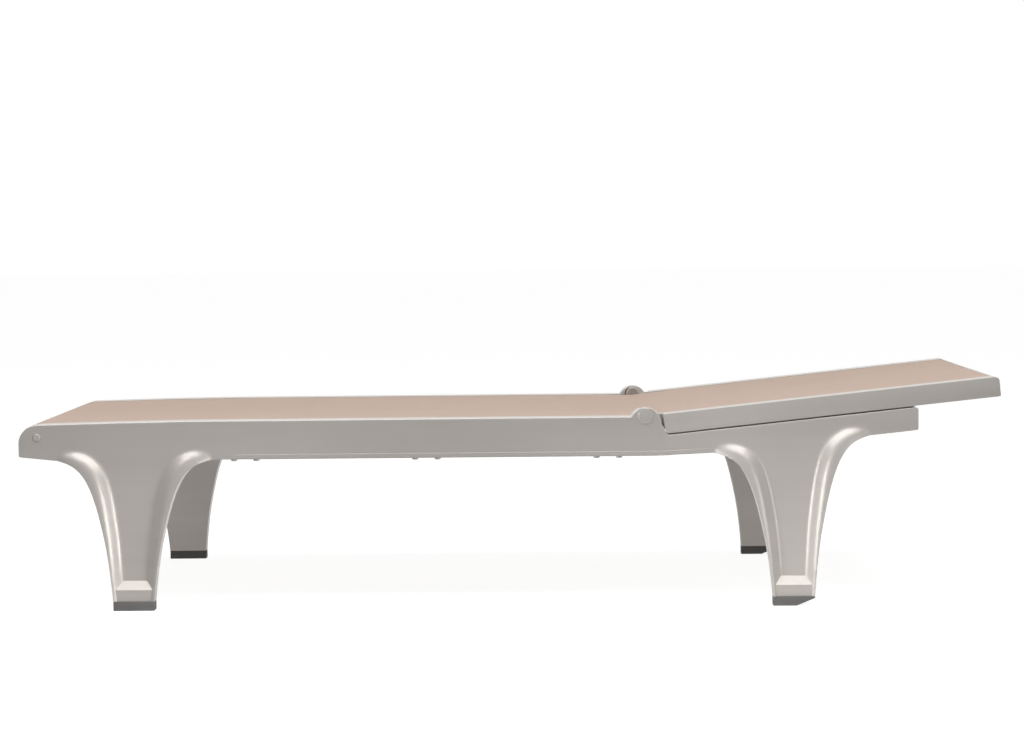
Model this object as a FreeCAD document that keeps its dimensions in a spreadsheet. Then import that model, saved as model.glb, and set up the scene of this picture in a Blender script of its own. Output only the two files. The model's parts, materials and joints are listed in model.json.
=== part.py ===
import FreeCAD, Part
import Sketcher
import math
import os
from FreeCAD import Placement, Rotation, Vector

# Sun lounger: moulded side frames with flared legs, a textile sling, and a backrest on two pivots.
# X runs from the foot end to the head end, Y across, Z up. The origin is on the floor, under the
# middle. The left side is at negative Y, and the right side is its mirror image.

doc = FreeCAD.newDocument("SunLounger")
sheet = doc.addObject("Spreadsheet::Sheet", "Sizes")

SIZES = {
    # the whole lounger
    "overall_length": 1910, "rail_span": 600, "foot_splay": 40,
    # side rails
    "rail_thickness": 38, "rail_top": 365, "rail_depth": 76, "nose_depth": 68, "nose_drop": 6.5,
    "nose_radius": 37, "crown_from_foot_end": 265, "crown_run": 190, "edge_radius": 3,
    "wall": 6, "top_flange": 15, "rear_rise_radius": 400, "rear_rise_run": 100,
    # recline pivot, ears and arms
    "hinge_rise": 1, "rest_angle": 5.9, "open_angle": 62.2,
    "ear_radius": 31, "ear_drop": 15, "ear_wall": 20, "step_radius": 14, "arm_gap": 3,
    "arm_depth": 44.5, "arm_end_radius": 6,
    # legs and feet
    "front_foot_from_foot_end": 186.6, "foot_length": 80, "foot_depth": 24, "leg_thickness": 10,
    "leg_flare": 111, "web_lean": 26, "band_low": 20, "band_high": 40, "ledge_low": 40, "ledge_high": 58,
    "block_inset": 4, "block_side": 1, "pad_height": 18, "socket_wall": 3.5, "socket_end": 7,
    "socket_depth": 21, "plug_height": 20, "plug_wheel_gap": 2.7, "heel_flat": 45, "heel_rise": 14.5,
    # transport wheels
    "wheel_radius": 9, "wheel_width": 10, "wheel_lift": 4, "wheel_from_toe": 23, "wheel_gap": 1,
    "axle_diameter": 5, "axle_reach": 3, "wheel_groove": 1.2,
    # cross bars of the base
    "bar_width": 56, "bar_height": 30, "bar_wall": 5, "bar_round": 6, "bar_leg_gap": 34,
    "bar_hinge_gap": 45, "screw_spacing": 44, "screw_diameter": 5, "screw_length": 18,
    "screw_head_diameter": 13, "screw_head_height": 5.5, "foot_bar_width": 40,
    "rear_bar_width": 28, "rear_bar_height": 30, "rear_bar_drop": 52,
    # foot end bolts and plugs
    "nose_bolt_from_foot_end": 36, "nose_bolt_drop": 30, "bolt_diameter": 8, "bolt_length": 58,
    "nose_plug_diameter": 16, "nose_plug_recess": 4, "plug_proud": 1.5,
    # backrest
    "back_depth": 38, "rail_start": 35, "rail_corner": 10, "head_radius": 8, "hub_radius": 15,
    "hub_width": 16, "hub_gap": 2, "hub_clearance": 2.5, "head_bar_width": 24, "back_bar_width": 40,
    "back_bar_height": 22, "back_bar_drop": 13, "lower_bar_start": 58,
    # pivot pins, washers and caps
    "pin_diameter": 14, "pin_clearance": 0.05, "pin_head_diameter": 22, "pin_head": 3,
    "washer_diameter": 28, "washer_thickness": 1.4, "cap_diameter": 30, "cap_recess": 3,
    "cap_proud": 2,
    # sling and its welts
    "sling_thickness": 1.6, "sling_drop": 3.5, "slit_height": 2.6, "groove_height": 5,
    "groove_width": 8, "groove_inset": 5, "sling_end_gap": 44, "back_sling_start": 60,
    "wrap_rise": 2.2, "wrap_slack": 2, "wrap_tail": 30,
    # prop stay and racks
    "prop_drop": 8, "prop_swing_fall": 50, "prop_swing_lean": 15.6,
    "stay_thickness": 10, "stay_height": 16, "stay_inset": 20, "stay_eye": 22, "foot_tube_diameter": 12,
    "prop_pin_diameter": 10, "prop_pin_head": 4, "rack_thickness": 14, "rack_depth": 9,
    "rack_gap": 0.4, "rack_notch": 3, "rack_stop": 8,
    # fits
    "clearance": 0.3, "overrun": 2,
}

# How far up the leg each section lies, how much of the flare it has, how far its rim stands proud, and
# how much of the rail's extra thickness it has.
LEG_HEIGHT_SHARES = (0, 0.15, 0.28, 0.42, 0.54, 0.66, 0.77, 0.86, 0.92, 0.96, 0.985, 1)
LEG_FLARE_SHARES = (0, 0.035, 0.075, 0.135, 0.2, 0.275, 0.365, 0.47, 0.58, 0.705, 0.85, 1)
RIM_PROUD_SHARES = (1, 0.95, 0.9, 0.83, 0.77, 0.69, 0.6, 0.51, 0.41, 0.29, 0.15, 0)
LEG_THICKNESS_SHARES = (0, 0, 0, 0.01, 0.03, 0.07, 0.15, 0.3, 0.48, 0.68, 0.86, 1)
# Where the stay stands in the rack, as shares of the backrest's travel.
NOTCH_SHARES = (0.35, 0.59, 0.746, 1)
# How far along the lounger the hinge is, and how far along the part behind it the rest is.
HINGE_SHARE = 0.6397906
REAR_FOOT_SHARE = 0.3531977
ARM_SHARE = 0.7688953
PROP_SHARE = 0.6875
REAR_BAR_SHARE = 0.7296512
UPPER_BAR_SHARE = 0.755814
BAR_COUNT = 3
BAND_STEPS = 4
RACK_STEPS = 12


class Size:
    """A length that keeps both its number and the sheet expression that it comes from."""

    def __init__(self, value, text=None):
        self.value = float(value)
        self.text = repr(self.value) if text is None else text

    def join(self, other, sign, value):
        return Size(value, "(" + self.text + " " + sign + " " + other.text + ")")

    def __add__(self, other):
        other = as_size(other)
        return self.join(other, "+", self.value + other.value)

    def __sub__(self, other):
        other = as_size(other)
        return self.join(other, "-", self.value - other.value)

    def __mul__(self, other):
        other = as_size(other)
        return self.join(other, "*", self.value * other.value)

    def __truediv__(self, other):
        other = as_size(other)
        return self.join(other, "/", self.value / other.value)

    def __radd__(self, other):
        return as_size(other) + self

    def __rsub__(self, other):
        return as_size(other) - self

    def __rmul__(self, other):
        return as_size(other) * self

    def __neg__(self):
        return 0 - self

    def __float__(self):
        return self.value


def as_size(value):
    return value if isinstance(value, Size) else Size(value)


def sine(angle):
    return Size(math.sin(math.radians(angle.value)), "sin(" + angle.text + ")")


def cosine(angle):
    return Size(math.cos(math.radians(angle.value)), "cos(" + angle.text + ")")


def read_sheet():
    """Fill the sheet, one aliased cell for each size, and read the sizes back from it."""
    for row, (alias, value) in enumerate(SIZES.items(), start=1):
        sheet.set("A%d" % row, alias.replace("_", " "))
        sheet.set("B%d" % row, str(value))
        sheet.setAlias("B%d" % row, alias)
    doc.recompute()
    return {alias: Size(sheet.get(alias), "Sizes." + alias) for alias in SIZES}


s = type("Sizes", (), read_sheet())

# Places that several pieces share
FOOT_END = -s.overall_length / 2
RAIL_OUT = s.rail_span / 2
RAIL_IN = RAIL_OUT - s.rail_thickness
RAIL_BOTTOM = s.rail_top - s.rail_depth
NOSE_BOTTOM = s.rail_top - s.nose_depth
NOSE_BOLT_Z = s.rail_top - s.nose_bolt_drop
HINGE_X = FOOT_END + s.overall_length * HINGE_SHARE
HINGE_Z = s.rail_top + s.hinge_rise
BEHIND = s.overall_length * (1 - HINGE_SHARE)
BACK_REACH = (BEHIND - s.back_depth * sine(s.rest_angle)) / cosine(s.rest_angle)
FEET_OUT = RAIL_OUT + s.foot_splay
FEET_IN = FEET_OUT - s.foot_depth
SOCKET_OUT = FEET_OUT - s.block_inset - s.socket_wall
SOCKET_IN = FEET_IN + s.socket_wall
WHEEL_Y = -(SOCKET_OUT + SOCKET_IN) / 2
FRONT_FOOT_X = FOOT_END + s.front_foot_from_foot_end
REAR_FOOT_X = HINGE_X + BEHIND * REAR_FOOT_SHARE
ARM_END = HINGE_X + BEHIND * ARM_SHARE
REAR_BAR_START = BEHIND * REAR_BAR_SHARE
UPPER_BAR_START = BEHIND * UPPER_BAR_SHARE
# The spreader bars stand evenly between the front legs and the hinge.
FIRST_BAR_X = FRONT_FOOT_X + s.foot_length + s.leg_flare + s.bar_leg_gap + s.bar_width / 2
LAST_BAR_X = HINGE_X - s.bar_hinge_gap - s.bar_width / 2
BAR_SPACING = (LAST_BAR_X - FIRST_BAR_X) / (BAR_COUNT - 1)
# The rail's top edge drops towards the foot end, round a gentle bend of this radius.
CROWN_X = FOOT_END + s.crown_from_foot_end
CROWN_SLOPE = float(s.nose_drop) / float(s.crown_from_foot_end)
CROWN_RADIUS = float(s.crown_run) / math.tan(math.atan(CROWN_SLOPE) / 2)
# The sling rises level with the noses and wraps over the foot end bar, which lies this far under it.
WRAP_TOP = s.rail_top - s.nose_drop + s.wrap_rise
WRAP_DEPTH = s.sling_thickness + s.clearance
WRAP_END = FOOT_END + s.foot_bar_width + s.wrap_tail
ARM_TOP = s.back_depth + s.arm_gap
ARM_BOTTOM = ARM_TOP + s.arm_depth
EAR_WALL_IN = RAIL_OUT - s.ear_wall
HUB_OUT = EAR_WALL_IN - s.hub_gap
HUB_IN = HUB_OUT - s.hub_width
# The stay's pivot and foot, from the hinge, with the backrest at rest. As the backrest turns, the stay
# turns twice as far the other way, so that its foot runs along part of an ellipse.
PROP_REACH = BEHIND * PROP_SHARE
PIVOT = ((PROP_REACH - s.prop_swing_fall) / 2, (s.prop_swing_lean - s.prop_drop) / 2)
STAY = ((PROP_REACH + s.prop_swing_fall) / 2, -(s.prop_swing_lean + s.prop_drop) / 2)
STAY_OUT = RAIL_IN - s.stay_inset
STAY_LENGTH = Size(math.hypot(STAY[0].value, STAY[1].value),
                   "sqrt(" + (STAY[0] * STAY[0] + STAY[1] * STAY[1]).text + ")")

made = []


def vec(x, y, z):
    return Vector(float(x), float(y), float(z))


def keep(shape_object, label):
    shape_object.Label = label
    made.append(shape_object)
    return shape_object


def place(shape_object, x, y, z):
    for axis, value in zip("xyz", (x, y, z)):
        shape_object.setExpression("Placement.Base." + axis, as_size(value).text)


def feature(label, shape, kept=True):
    shape_object = doc.addObject("Part::Feature", label)
    shape_object.Shape = shape
    shape_object.Placement = Placement()
    return keep(shape_object, label) if kept else shape_object


def mirrored(source, label):
    """The right-hand twin of a left-hand piece."""
    twin = doc.addObject("Part::Mirroring", label)
    twin.Source = source
    twin.Normal = Vector(0, 1, 0)
    return keep(twin, label)


def pair(source, name):
    source.Label = name + "_left"
    made.append(source)
    mirrored(source, name + "_right")


def origin_plane(body, role):
    return next(item for item in body.Origin.OriginFeatures if item.Role == role)


def outline_sketch(body, role, corners):
    """A closed sketch whose corners are each held from the origin by two sheet expressions."""
    sketch = body.newObject("Sketcher::SketchObject", body.Name + "_outline")
    sketch.AttachmentSupport = [(origin_plane(body, role), "")]
    sketch.MapMode = "FlatFace"
    points = [vec(across, up, 0) for across, up in corners]
    count = len(points)
    for index in range(count):
        sketch.addGeometry(Part.LineSegment(points[index], points[(index + 1) % count]), False)
    for index in range(count):
        sketch.addConstraint(Sketcher.Constraint("Coincident", index, 2, (index + 1) % count, 1))
    for index, corner in enumerate(corners):
        for kind, value in zip(("DistanceX", "DistanceY"), corner):
            value = as_size(value)
            rule = sketch.addConstraint(
                Sketcher.Constraint(kind, -1, 1, index, 1, value.value))
            if "Sizes." in value.text:
                sketch.setExpression("Constraints[%d]" % rule, value.text)
    return sketch


def turned(name, corners, upright=False):
    """A body turned about Y, or about Z if upright, from corners given as radius and height."""
    body = doc.addObject("PartDesign::Body", name)
    sketch = outline_sketch(body, "XZ_Plane" if upright else "XY_Plane", corners)
    spin = body.newObject("PartDesign::Revolution", name + "_turned")
    spin.Profile = sketch
    spin.ReferenceAxis = (sketch, ["V_Axis"])
    spin.Angle = 360
    body.Tip = spin
    return body


def padded(name, corners, length):
    """A body whose outline lies in the XZ plane and is padded evenly to both sides along Y."""
    body = doc.addObject("PartDesign::Body", name)
    sketch = outline_sketch(body, "XZ_Plane", corners)
    pad = body.newObject("PartDesign::Pad", name + "_pad")
    pad.Profile = sketch
    pad.Midplane = True
    pad.setExpression("Length", as_size(length).text)
    body.Tip = pad
    return body


def box(name, low, high):
    block = doc.addObject("Part::Box", name)
    for side, start, end in zip(("Length", "Width", "Height"), low, high):
        block.setExpression(side, (as_size(end) - as_size(start)).text)
    place(block, *low)
    return block


def cut(name, base, tools):
    tool = tools[0]
    if len(tools) > 1:
        tool = doc.addObject("Part::MultiFuse", name + "_tools")
        tool.Shapes = tools
    result = doc.addObject("Part::Cut", name)
    result.Base = base
    result.Tool = tool
    return result


def fuse(name, pieces):
    result = doc.addObject("Part::MultiFuse", name)
    result.Shapes = pieces
    return result


def cylinder_y(name, radius, x, start, end, z):
    rod = doc.addObject("Part::Cylinder", name)
    rod.setExpression("Radius", as_size(radius).text)
    rod.setExpression("Height", (as_size(end) - as_size(start)).text)
    rod.Placement = Placement(Vector(), Rotation(Vector(1, 0, 0), -90))
    place(rod, x, start, z)
    return rod


def rounded_wire(corners, y):
    """A closed wire in the plane at y, from corners of x, z and the radius that rounds them."""
    points = [vec(x, y, z) for x, z, radius in corners]
    radii = [float(radius) for x, z, radius in corners]
    count = len(points)
    ends = []
    edges = []
    for index in range(count):
        here = points[index]
        back = (points[index - 1] - here).normalize()
        ahead = (points[(index + 1) % count] - here).normalize()
        half = back.getAngle(ahead) / 2
        if radii[index] == 0:
            ends.append((here, here))
            continue
        reach = radii[index] / math.tan(half)
        middle = (back + ahead).normalize()
        nearest = here + middle * (radii[index] / math.sin(half) - radii[index])
        start, end = here + back * reach, here + ahead * reach
        ends.append((start, end))
        edges.append(Part.Arc(start, nearest, end).toShape())
    for index in range(count):
        start, end = ends[index][1], ends[(index + 1) % count][0]
        edges.append(Part.LineSegment(start, end).toShape())
    return Part.Wire(Part.__sortEdges__(edges))


def prism(corners, start, end):
    """A solid between two Y values with a rounded outline."""
    face = Part.Face(rounded_wire(corners, start))
    return face.extrude(vec(0, float(end) - float(start), 0))


def back_point(along, above):
    """A point of the backrest at rest, from the hinge: along its top plane, and square to it."""
    lean = math.radians(float(s.rest_angle))
    along, above = float(along), float(above)
    x = float(HINGE_X) + along * math.cos(lean) - above * math.sin(lean)
    return x, float(HINGE_Z) + along * math.sin(lean) + above * math.cos(lean)


def back_prism(corners, start, end):
    return prism([back_point(along, above) + (radius,) for along, above, radius in corners], start, end)


def arm_point(x, above):
    """The point at x on a line that is parallel to the backrest at rest."""
    lean = math.radians(float(s.rest_angle))
    rise = (float(x) - float(HINGE_X)) * math.tan(lean) + float(above) / math.cos(lean)
    return float(x), float(HINGE_Z) + rise


def rod_y(radius, x, z, start, end):
    return Part.makeCylinder(float(radius), float(end) - float(start), vec(x, start, z), Vector(0, 1, 0))


def rail_top_at(x):
    """Height of the straight, dropping end of the rail's top edge."""
    return float(s.rail_top) - (float(CROWN_X) - float(x)) * CROWN_SLOPE


def rail_ribbon(high, low, start_x, end_x, start_y, end_y):
    """A strip that follows the rail's top edge, between two depths under it."""
    top, begin = float(s.rail_top), rail_top_at(start_x)
    corners = [(start_x, begin - float(high), 0), (CROWN_X, top - float(high), CROWN_RADIUS),
               (end_x, top - float(high), 0), (end_x, top - float(low), 0),
               (CROWN_X, top - float(low), CROWN_RADIUS), (start_x, begin - float(low), 0)]
    return prism(corners, start_y, end_y)


def leg_section(share, flare, proud, bulk, left, right):
    """One slice of a leg. Left and right are its foot edge and its edge under the beam, in X and Z."""
    slice_ends = []
    for (foot_x, foot_z), (beam_x, beam_z) in (left, right):
        slice_ends.append((foot_x + (beam_x - foot_x) * flare, foot_z + (beam_z - foot_z) * share))
    (start_x, start_z), (end_x, end_z) = slice_ends
    width = end_x - start_x
    web = -float(RAIL_OUT) - float(s.web_lean) * (1 - share)
    inside = web + float(s.leg_thickness) + float(s.rail_thickness - s.leg_thickness) * bulk
    rim = -float(RAIL_OUT) - float(FEET_OUT - RAIL_OUT) * proud
    band = float(s.band_low) + float(s.band_high - s.band_low) * share

    def at(run, y):
        return Vector(start_x + run, y, start_z + (end_z - start_z) * run / width)

    def band_edge(from_run, to_run, from_y, to_y):
        points = []
        for step in range(BAND_STEPS + 1):
            part = step / BAND_STEPS
            ease = (1 - math.cos(math.pi * part)) / 2
            points.append(at(from_run + (to_run - from_run) * part, from_y + (to_y - from_y) * ease))
        curve = Part.BSplineCurve()
        along = at(to_run, 0) - at(from_run, 0)
        curve.interpolate(Points=points, InitialTangent=along, FinalTangent=along)
        return curve.toShape()

    return Part.Wire([
        Part.LineSegment(at(0, inside), at(0, rim)).toShape(),
        band_edge(0, band, rim, web),
        Part.LineSegment(at(band, web), at(width - band, web)).toShape(),
        band_edge(width - band, width, web, rim),
        Part.LineSegment(at(width, rim), at(width, inside)).toShape(),
        Part.LineSegment(at(width, inside), at(0, inside)).toShape(),
    ])


def leg(left, right):
    """A flared leg: its web leans out, its rims stand proud, and a ledge sits above the foot block."""
    shares = zip(LEG_HEIGHT_SHARES, LEG_FLARE_SHARES, RIM_PROUD_SHARES, LEG_THICKNESS_SHARES)
    sections = [leg_section(share, flare, proud, bulk, left, right) for share, flare, proud, bulk in shares]
    solid = Part.makeLoft(sections, True, False)
    inset = float(s.block_side)
    start_x, base = left[0][0] + inset, left[0][1]
    length = right[0][0] - left[0][0] - 2 * inset
    front = -float(FEET_OUT - s.block_inset)
    back = -float(RAIL_OUT + s.web_lean - s.block_inset)
    ledge = -float(RAIL_OUT + s.web_lean * (1 - s.ledge_high / RAIL_BOTTOM))
    low, high = float(s.ledge_low), float(s.ledge_high)
    profile = [(back, base), (front, base), (front, low), (ledge, high), (back, high)]
    face = Part.Face(Part.makePolygon([Vector(start_x, y, z) for y, z in profile + profile[:1]]))
    return solid.fuse(face.extrude(Vector(length, 0, 0)))


def side_frame():
    """Rail, legs, ear and rear arm of the left side, moulded in one."""
    out, inn = -RAIL_OUT, -RAIL_IN
    foot_end, arm_end = float(FOOT_END), float(ARM_END)
    ear_right = float(HINGE_X + s.ear_radius)
    ear_z = float(HINGE_Z - s.ear_drop)
    foot_z = float(s.pad_height)
    legs = []
    for foot_x in (float(FRONT_FOOT_X), float(REAR_FOOT_X)):
        toe_x = foot_x + float(s.foot_length)
        legs.append([foot_x, toe_x, foot_x - float(s.leg_flare), toe_x + float(s.leg_flare)])
    front, rear = legs
    front_beam = [(front[2], float(RAIL_BOTTOM)), (front[3], float(RAIL_BOTTOM))]
    rear_beam = [arm_point(rear[2], -ARM_BOTTOM), arm_point(rear[3], -ARM_BOTTOM)]
    corners = [
        (foot_end, NOSE_BOTTOM, s.edge_radius),
        (foot_end, s.rail_top - s.nose_drop, s.nose_radius),
        (CROWN_X, s.rail_top, CROWN_RADIUS),
        (HINGE_X, s.rail_top, 0),
        (ear_right, ear_z, 0),
        arm_point(ear_right, -ARM_TOP) + (s.step_radius,),
        arm_point(arm_end, -ARM_TOP) + (s.arm_end_radius,),
        arm_point(arm_end, -ARM_BOTTOM) + (s.edge_radius,),
        rear_beam[1] + (0,),
        rear_beam[0] + (0,),
        (rear[2] - float(s.rear_rise_run), RAIL_BOTTOM, s.rear_rise_radius),
        front_beam[1] + (0,),
        front_beam[0] + (0,),
    ]
    shape = prism(corners, out, inn)
    shape = shape.fuse(rod_y(s.ear_radius, HINGE_X, ear_z, out, inn))
    for (foot_x, toe_x, _, _), beam in zip(legs, (front_beam, rear_beam)):
        shape = shape.fuse(leg(((foot_x, foot_z), beam[0]), ((toe_x, foot_z), beam[1])))
    shape = shape.removeSplitter()
    for hollow in side_frame_cuts(legs):
        shape = shape.cut(hollow)
    return shape


def side_frame_cuts(legs):
    """Channel, welt groove, hub pocket, bores and foot sockets of the left side frame."""
    over = float(s.overrun)
    open_y = -RAIL_IN + s.overrun
    wall_y = -RAIL_OUT + s.wall
    channel_start = FOOT_END + s.foot_bar_width + s.wall
    channel_end = HINGE_X - s.hub_radius - s.hub_clearance - s.wall
    cuts = [rail_channel(channel_start, channel_end, wall_y, open_y)]
    arm_start, arm_end = HINGE_X + s.hub_radius + s.rail_start, ARM_END - s.wall
    high, low = -(ARM_TOP + s.wall), -(ARM_BOTTOM - s.wall)
    cuts.append(prism([arm_point(x, above) + (s.edge_radius,) for x, above in
                       ((arm_start, high), (arm_end, high), (arm_end, low), (arm_start, low))],
                      wall_y, open_y))
    slit, groove = s.slit_height / 2, s.groove_height / 2
    groove_y = -RAIL_IN - s.groove_inset
    strip_start = FOOT_END + s.foot_bar_width
    cuts.append(rail_ribbon(s.sling_drop - slit, s.sling_drop + slit, strip_start,
                            HINGE_X - s.hub_radius, groove_y, open_y))
    cuts.append(rail_ribbon(s.sling_drop - groove, s.sling_drop + groove, strip_start,
                            HINGE_X - s.hub_radius, groove_y - s.groove_width, groove_y))
    pocket_radius = s.hub_radius + s.hub_clearance
    cuts.append(rod_y(pocket_radius, HINGE_X, HINGE_Z, -EAR_WALL_IN, open_y))
    cuts.append(back_prism([(0, -pocket_radius, 0), (ARM_BOTTOM, -pocket_radius, 0),
                            (ARM_BOTTOM, pocket_radius, 0), (0, pocket_radius, 0)], -EAR_WALL_IN, open_y))
    cuts.append(rod_y(s.pin_diameter / 2 + s.pin_clearance, HINGE_X, HINGE_Z, -RAIL_OUT - over,
                      -EAR_WALL_IN + over))
    cuts.append(rod_y(s.cap_diameter / 2 + s.pin_clearance, HINGE_X, HINGE_Z, -RAIL_OUT - over,
                      -RAIL_OUT + s.cap_recess))
    nose_x = FOOT_END + s.nose_bolt_from_foot_end
    cuts.append(rod_y(s.bolt_diameter / 2 + s.clearance, nose_x, NOSE_BOLT_Z, -RAIL_OUT - over,
                      open_y))
    cuts.append(rod_y(s.nose_plug_diameter / 2 + s.pin_clearance, nose_x, NOSE_BOLT_Z,
                      -RAIL_OUT - over, -RAIL_OUT + s.nose_plug_recess))
    for x, y in screw_places():
        if y < 0:
            cuts.append(Part.makeCylinder(float(s.screw_diameter / 2 + s.clearance), float(s.wall) + 2 * over,
                                          vec(x, y, RAIL_BOTTOM - s.overrun)))
    for foot_x, toe_x, _, _ in legs:
        end = float(s.socket_end)
        cuts.append(Part.makeBox(toe_x - foot_x - 2 * end, float(SOCKET_OUT - SOCKET_IN),
                                 float(s.socket_depth) + over,
                                 vec(foot_x + end, -SOCKET_OUT, s.pad_height - s.overrun)))
    return cuts


def rail_channel(start_x, end_x, wall_y, open_y):
    """The hollow of the rail, open towards the middle of the lounger."""
    low = RAIL_BOTTOM + s.wall
    high = s.rail_top - s.top_flange
    corners = [(start_x, low, s.edge_radius), (start_x, rail_top_at(start_x) - s.top_flange, s.edge_radius),
               (CROWN_X, high, CROWN_RADIUS), (end_x, high, s.edge_radius), (end_x, low, s.edge_radius)]
    return prism(corners, wall_y, open_y)


def screw_places():
    """X and Y of every screw that comes up through a rail's lower flange into a spreader bar."""
    places = []
    side_y = float(RAIL_IN + RAIL_OUT - s.wall) / 2
    for index in range(BAR_COUNT):
        middle = float(FIRST_BAR_X + BAR_SPACING * index)
        for side in (-1, 1):
            for hand in (-1, 1):
                places.append((middle + side * float(s.screw_spacing) / 2, hand * side_y))
    return places


def stay_foot(turn):
    """Middle of the stay's foot tube when the backrest has turned by this many degrees."""
    angle = math.radians(turn)
    x = float(PROP_REACH) * math.cos(angle) - float(s.prop_swing_lean) * math.sin(angle)
    z = -float(s.prop_drop) * math.cos(angle) - float(s.prop_swing_fall) * math.sin(angle)
    return vec(HINGE_X, 0, HINGE_Z) + Vector(x, 0, z)


def under_foot(turn, depth):
    """A point under the foot tube's path, square to it."""
    ahead = stay_foot(turn + 1) - stay_foot(turn - 1)
    square = Vector(-ahead.z, 0, ahead.x).normalize()
    if square.z > 0:
        square = square * -1
    return stay_foot(turn) + square * float(depth)


def notch_rack():
    """The rack on the left arm: a rail just under the foot's path, with a notch at each position."""
    turn = float(s.open_angle)
    reach = s.foot_tube_diameter / 2 + s.rack_gap
    turns = [turn * step / RACK_STEPS for step in range(RACK_STEPS + 1)]
    guide = [under_foot(angle, reach) for angle in turns]
    base = [under_foot(angle, reach + s.rack_depth) for angle in turns]
    stop = float(s.rack_stop)
    radius = float(reach)
    rise = Vector(radius, 0, radius)
    behind = [guide[0] + Vector(radius, 0, 0), guide[0] + rise, guide[0] + rise + Vector(stop, 0, 0),
              base[0] + Vector(radius + stop, 0, 0)]
    before = [base[-1] - Vector(stop, 0, 0), guide[-1] - Vector(stop, 0, 0)]

    def curve(points):
        line = Part.BSplineCurve()
        line.interpolate(points)
        return line.toShape()

    edges = [curve(guide), curve(base)]
    corners = [guide[0]] + behind + [base[0]]
    edges += [Part.LineSegment(a, b).toShape() for a, b in zip(corners, corners[1:])]
    corners = [base[-1]] + before + [guide[-1]]
    edges += [Part.LineSegment(a, b).toShape() for a, b in zip(corners, corners[1:])]
    face = Part.Face(Part.Wire(Part.__sortEdges__(edges)))
    face.translate(vec(0, -RAIL_IN, 0))
    shape = face.extrude(vec(0, s.rack_thickness, 0))
    for share in NOTCH_SHARES:
        spot = under_foot(turn * share, s.rack_notch)
        shape = shape.cut(rod_y(reach, spot.x, spot.z, -RAIL_IN - s.overrun,
                                -RAIL_IN + s.rack_thickness + s.overrun))
    return shape


def back_rail():
    """Left rail of the backrest: a beam, and inside it the arm and hub that turn on the pivot pin."""
    out, inn = -RAIL_OUT, -RAIL_IN
    shape = back_prism([(s.rail_start, -s.back_depth, s.rail_corner),
                        (BACK_REACH, -s.back_depth, s.edge_radius), (BACK_REACH, 0, s.head_radius),
                        (s.rail_start, 0, s.edge_radius)], out, inn)
    arm_end = s.rail_start + s.rail_corner * 2
    shape = shape.fuse(back_prism([(0, -s.hub_radius, 0), (arm_end, -s.hub_radius, 0), (arm_end, 0, 0),
                                   (0, 0, 0)], -HUB_OUT, -HUB_IN))
    shape = shape.fuse(rod_y(s.hub_radius, HINGE_X, HINGE_Z, -HUB_OUT, -HUB_IN)).removeSplitter()
    bores = [rod_y(s.pin_diameter / 2 + s.pin_clearance, HINGE_X, HINGE_Z, -HUB_OUT - s.overrun,
                   -HUB_IN + s.overrun)]
    pivot_x, pivot_z = HINGE_X + PIVOT[0], HINGE_Z + PIVOT[1]
    bores.append(rod_y(s.prop_pin_diameter / 2 + s.pin_clearance, pivot_x, pivot_z,
                       -RAIL_IN - s.stay_inset, -RAIL_IN + s.overrun))
    slit, groove = s.slit_height / 2, s.groove_height / 2
    strip_end = BACK_REACH - s.head_bar_width
    groove_y = -RAIL_IN - s.groove_inset
    for half, start_y, end_y in ((slit, groove_y, -RAIL_IN + s.overrun), (groove, groove_y - s.groove_width,
                                                                          groove_y)):
        high, low = half - s.sling_drop, -half - s.sling_drop
        bores.append(back_prism([(s.back_sling_start, low, 0), (strip_end, low, 0), (strip_end, high, 0),
                                 (s.back_sling_start, high, 0)], start_y, end_y))
    return shape.cut(Part.Compound(bores))


def foot_end_bar():
    """Rounded bar between the noses, hollow behind, set back to let the sling wrap over it."""
    start, end = FOOT_END + WRAP_DEPTH, FOOT_END + s.foot_bar_width
    half = RAIL_IN
    top = WRAP_TOP - WRAP_DEPTH - s.wrap_slack
    shape = prism([(start, NOSE_BOTTOM, s.edge_radius), (start, top, s.nose_radius - WRAP_DEPTH),
                   (end, top, 0), (end, NOSE_BOTTOM, s.edge_radius)], -half, half)
    bolt_x = FOOT_END + s.nose_bolt_from_foot_end
    end_block = s.bolt_length - s.rail_thickness + s.wall
    hollow = prism([(start + s.wall, NOSE_BOTTOM - s.overrun, 0), (start + s.wall, top - s.nose_radius, 0),
                    (end - s.wall, top - s.nose_radius, 0), (end - s.wall, NOSE_BOTTOM - s.overrun, 0)],
                   -half + end_block, half - end_block)
    bores = [rod_y(s.bolt_diameter / 2 + s.clearance, bolt_x, NOSE_BOLT_Z, start_y, end_y)
             for start_y, end_y in ((-half - s.overrun, -half + end_block),
                                    (half - end_block, half + s.overrun))]
    return shape.cut(Part.Compound([hollow] + bores))


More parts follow.
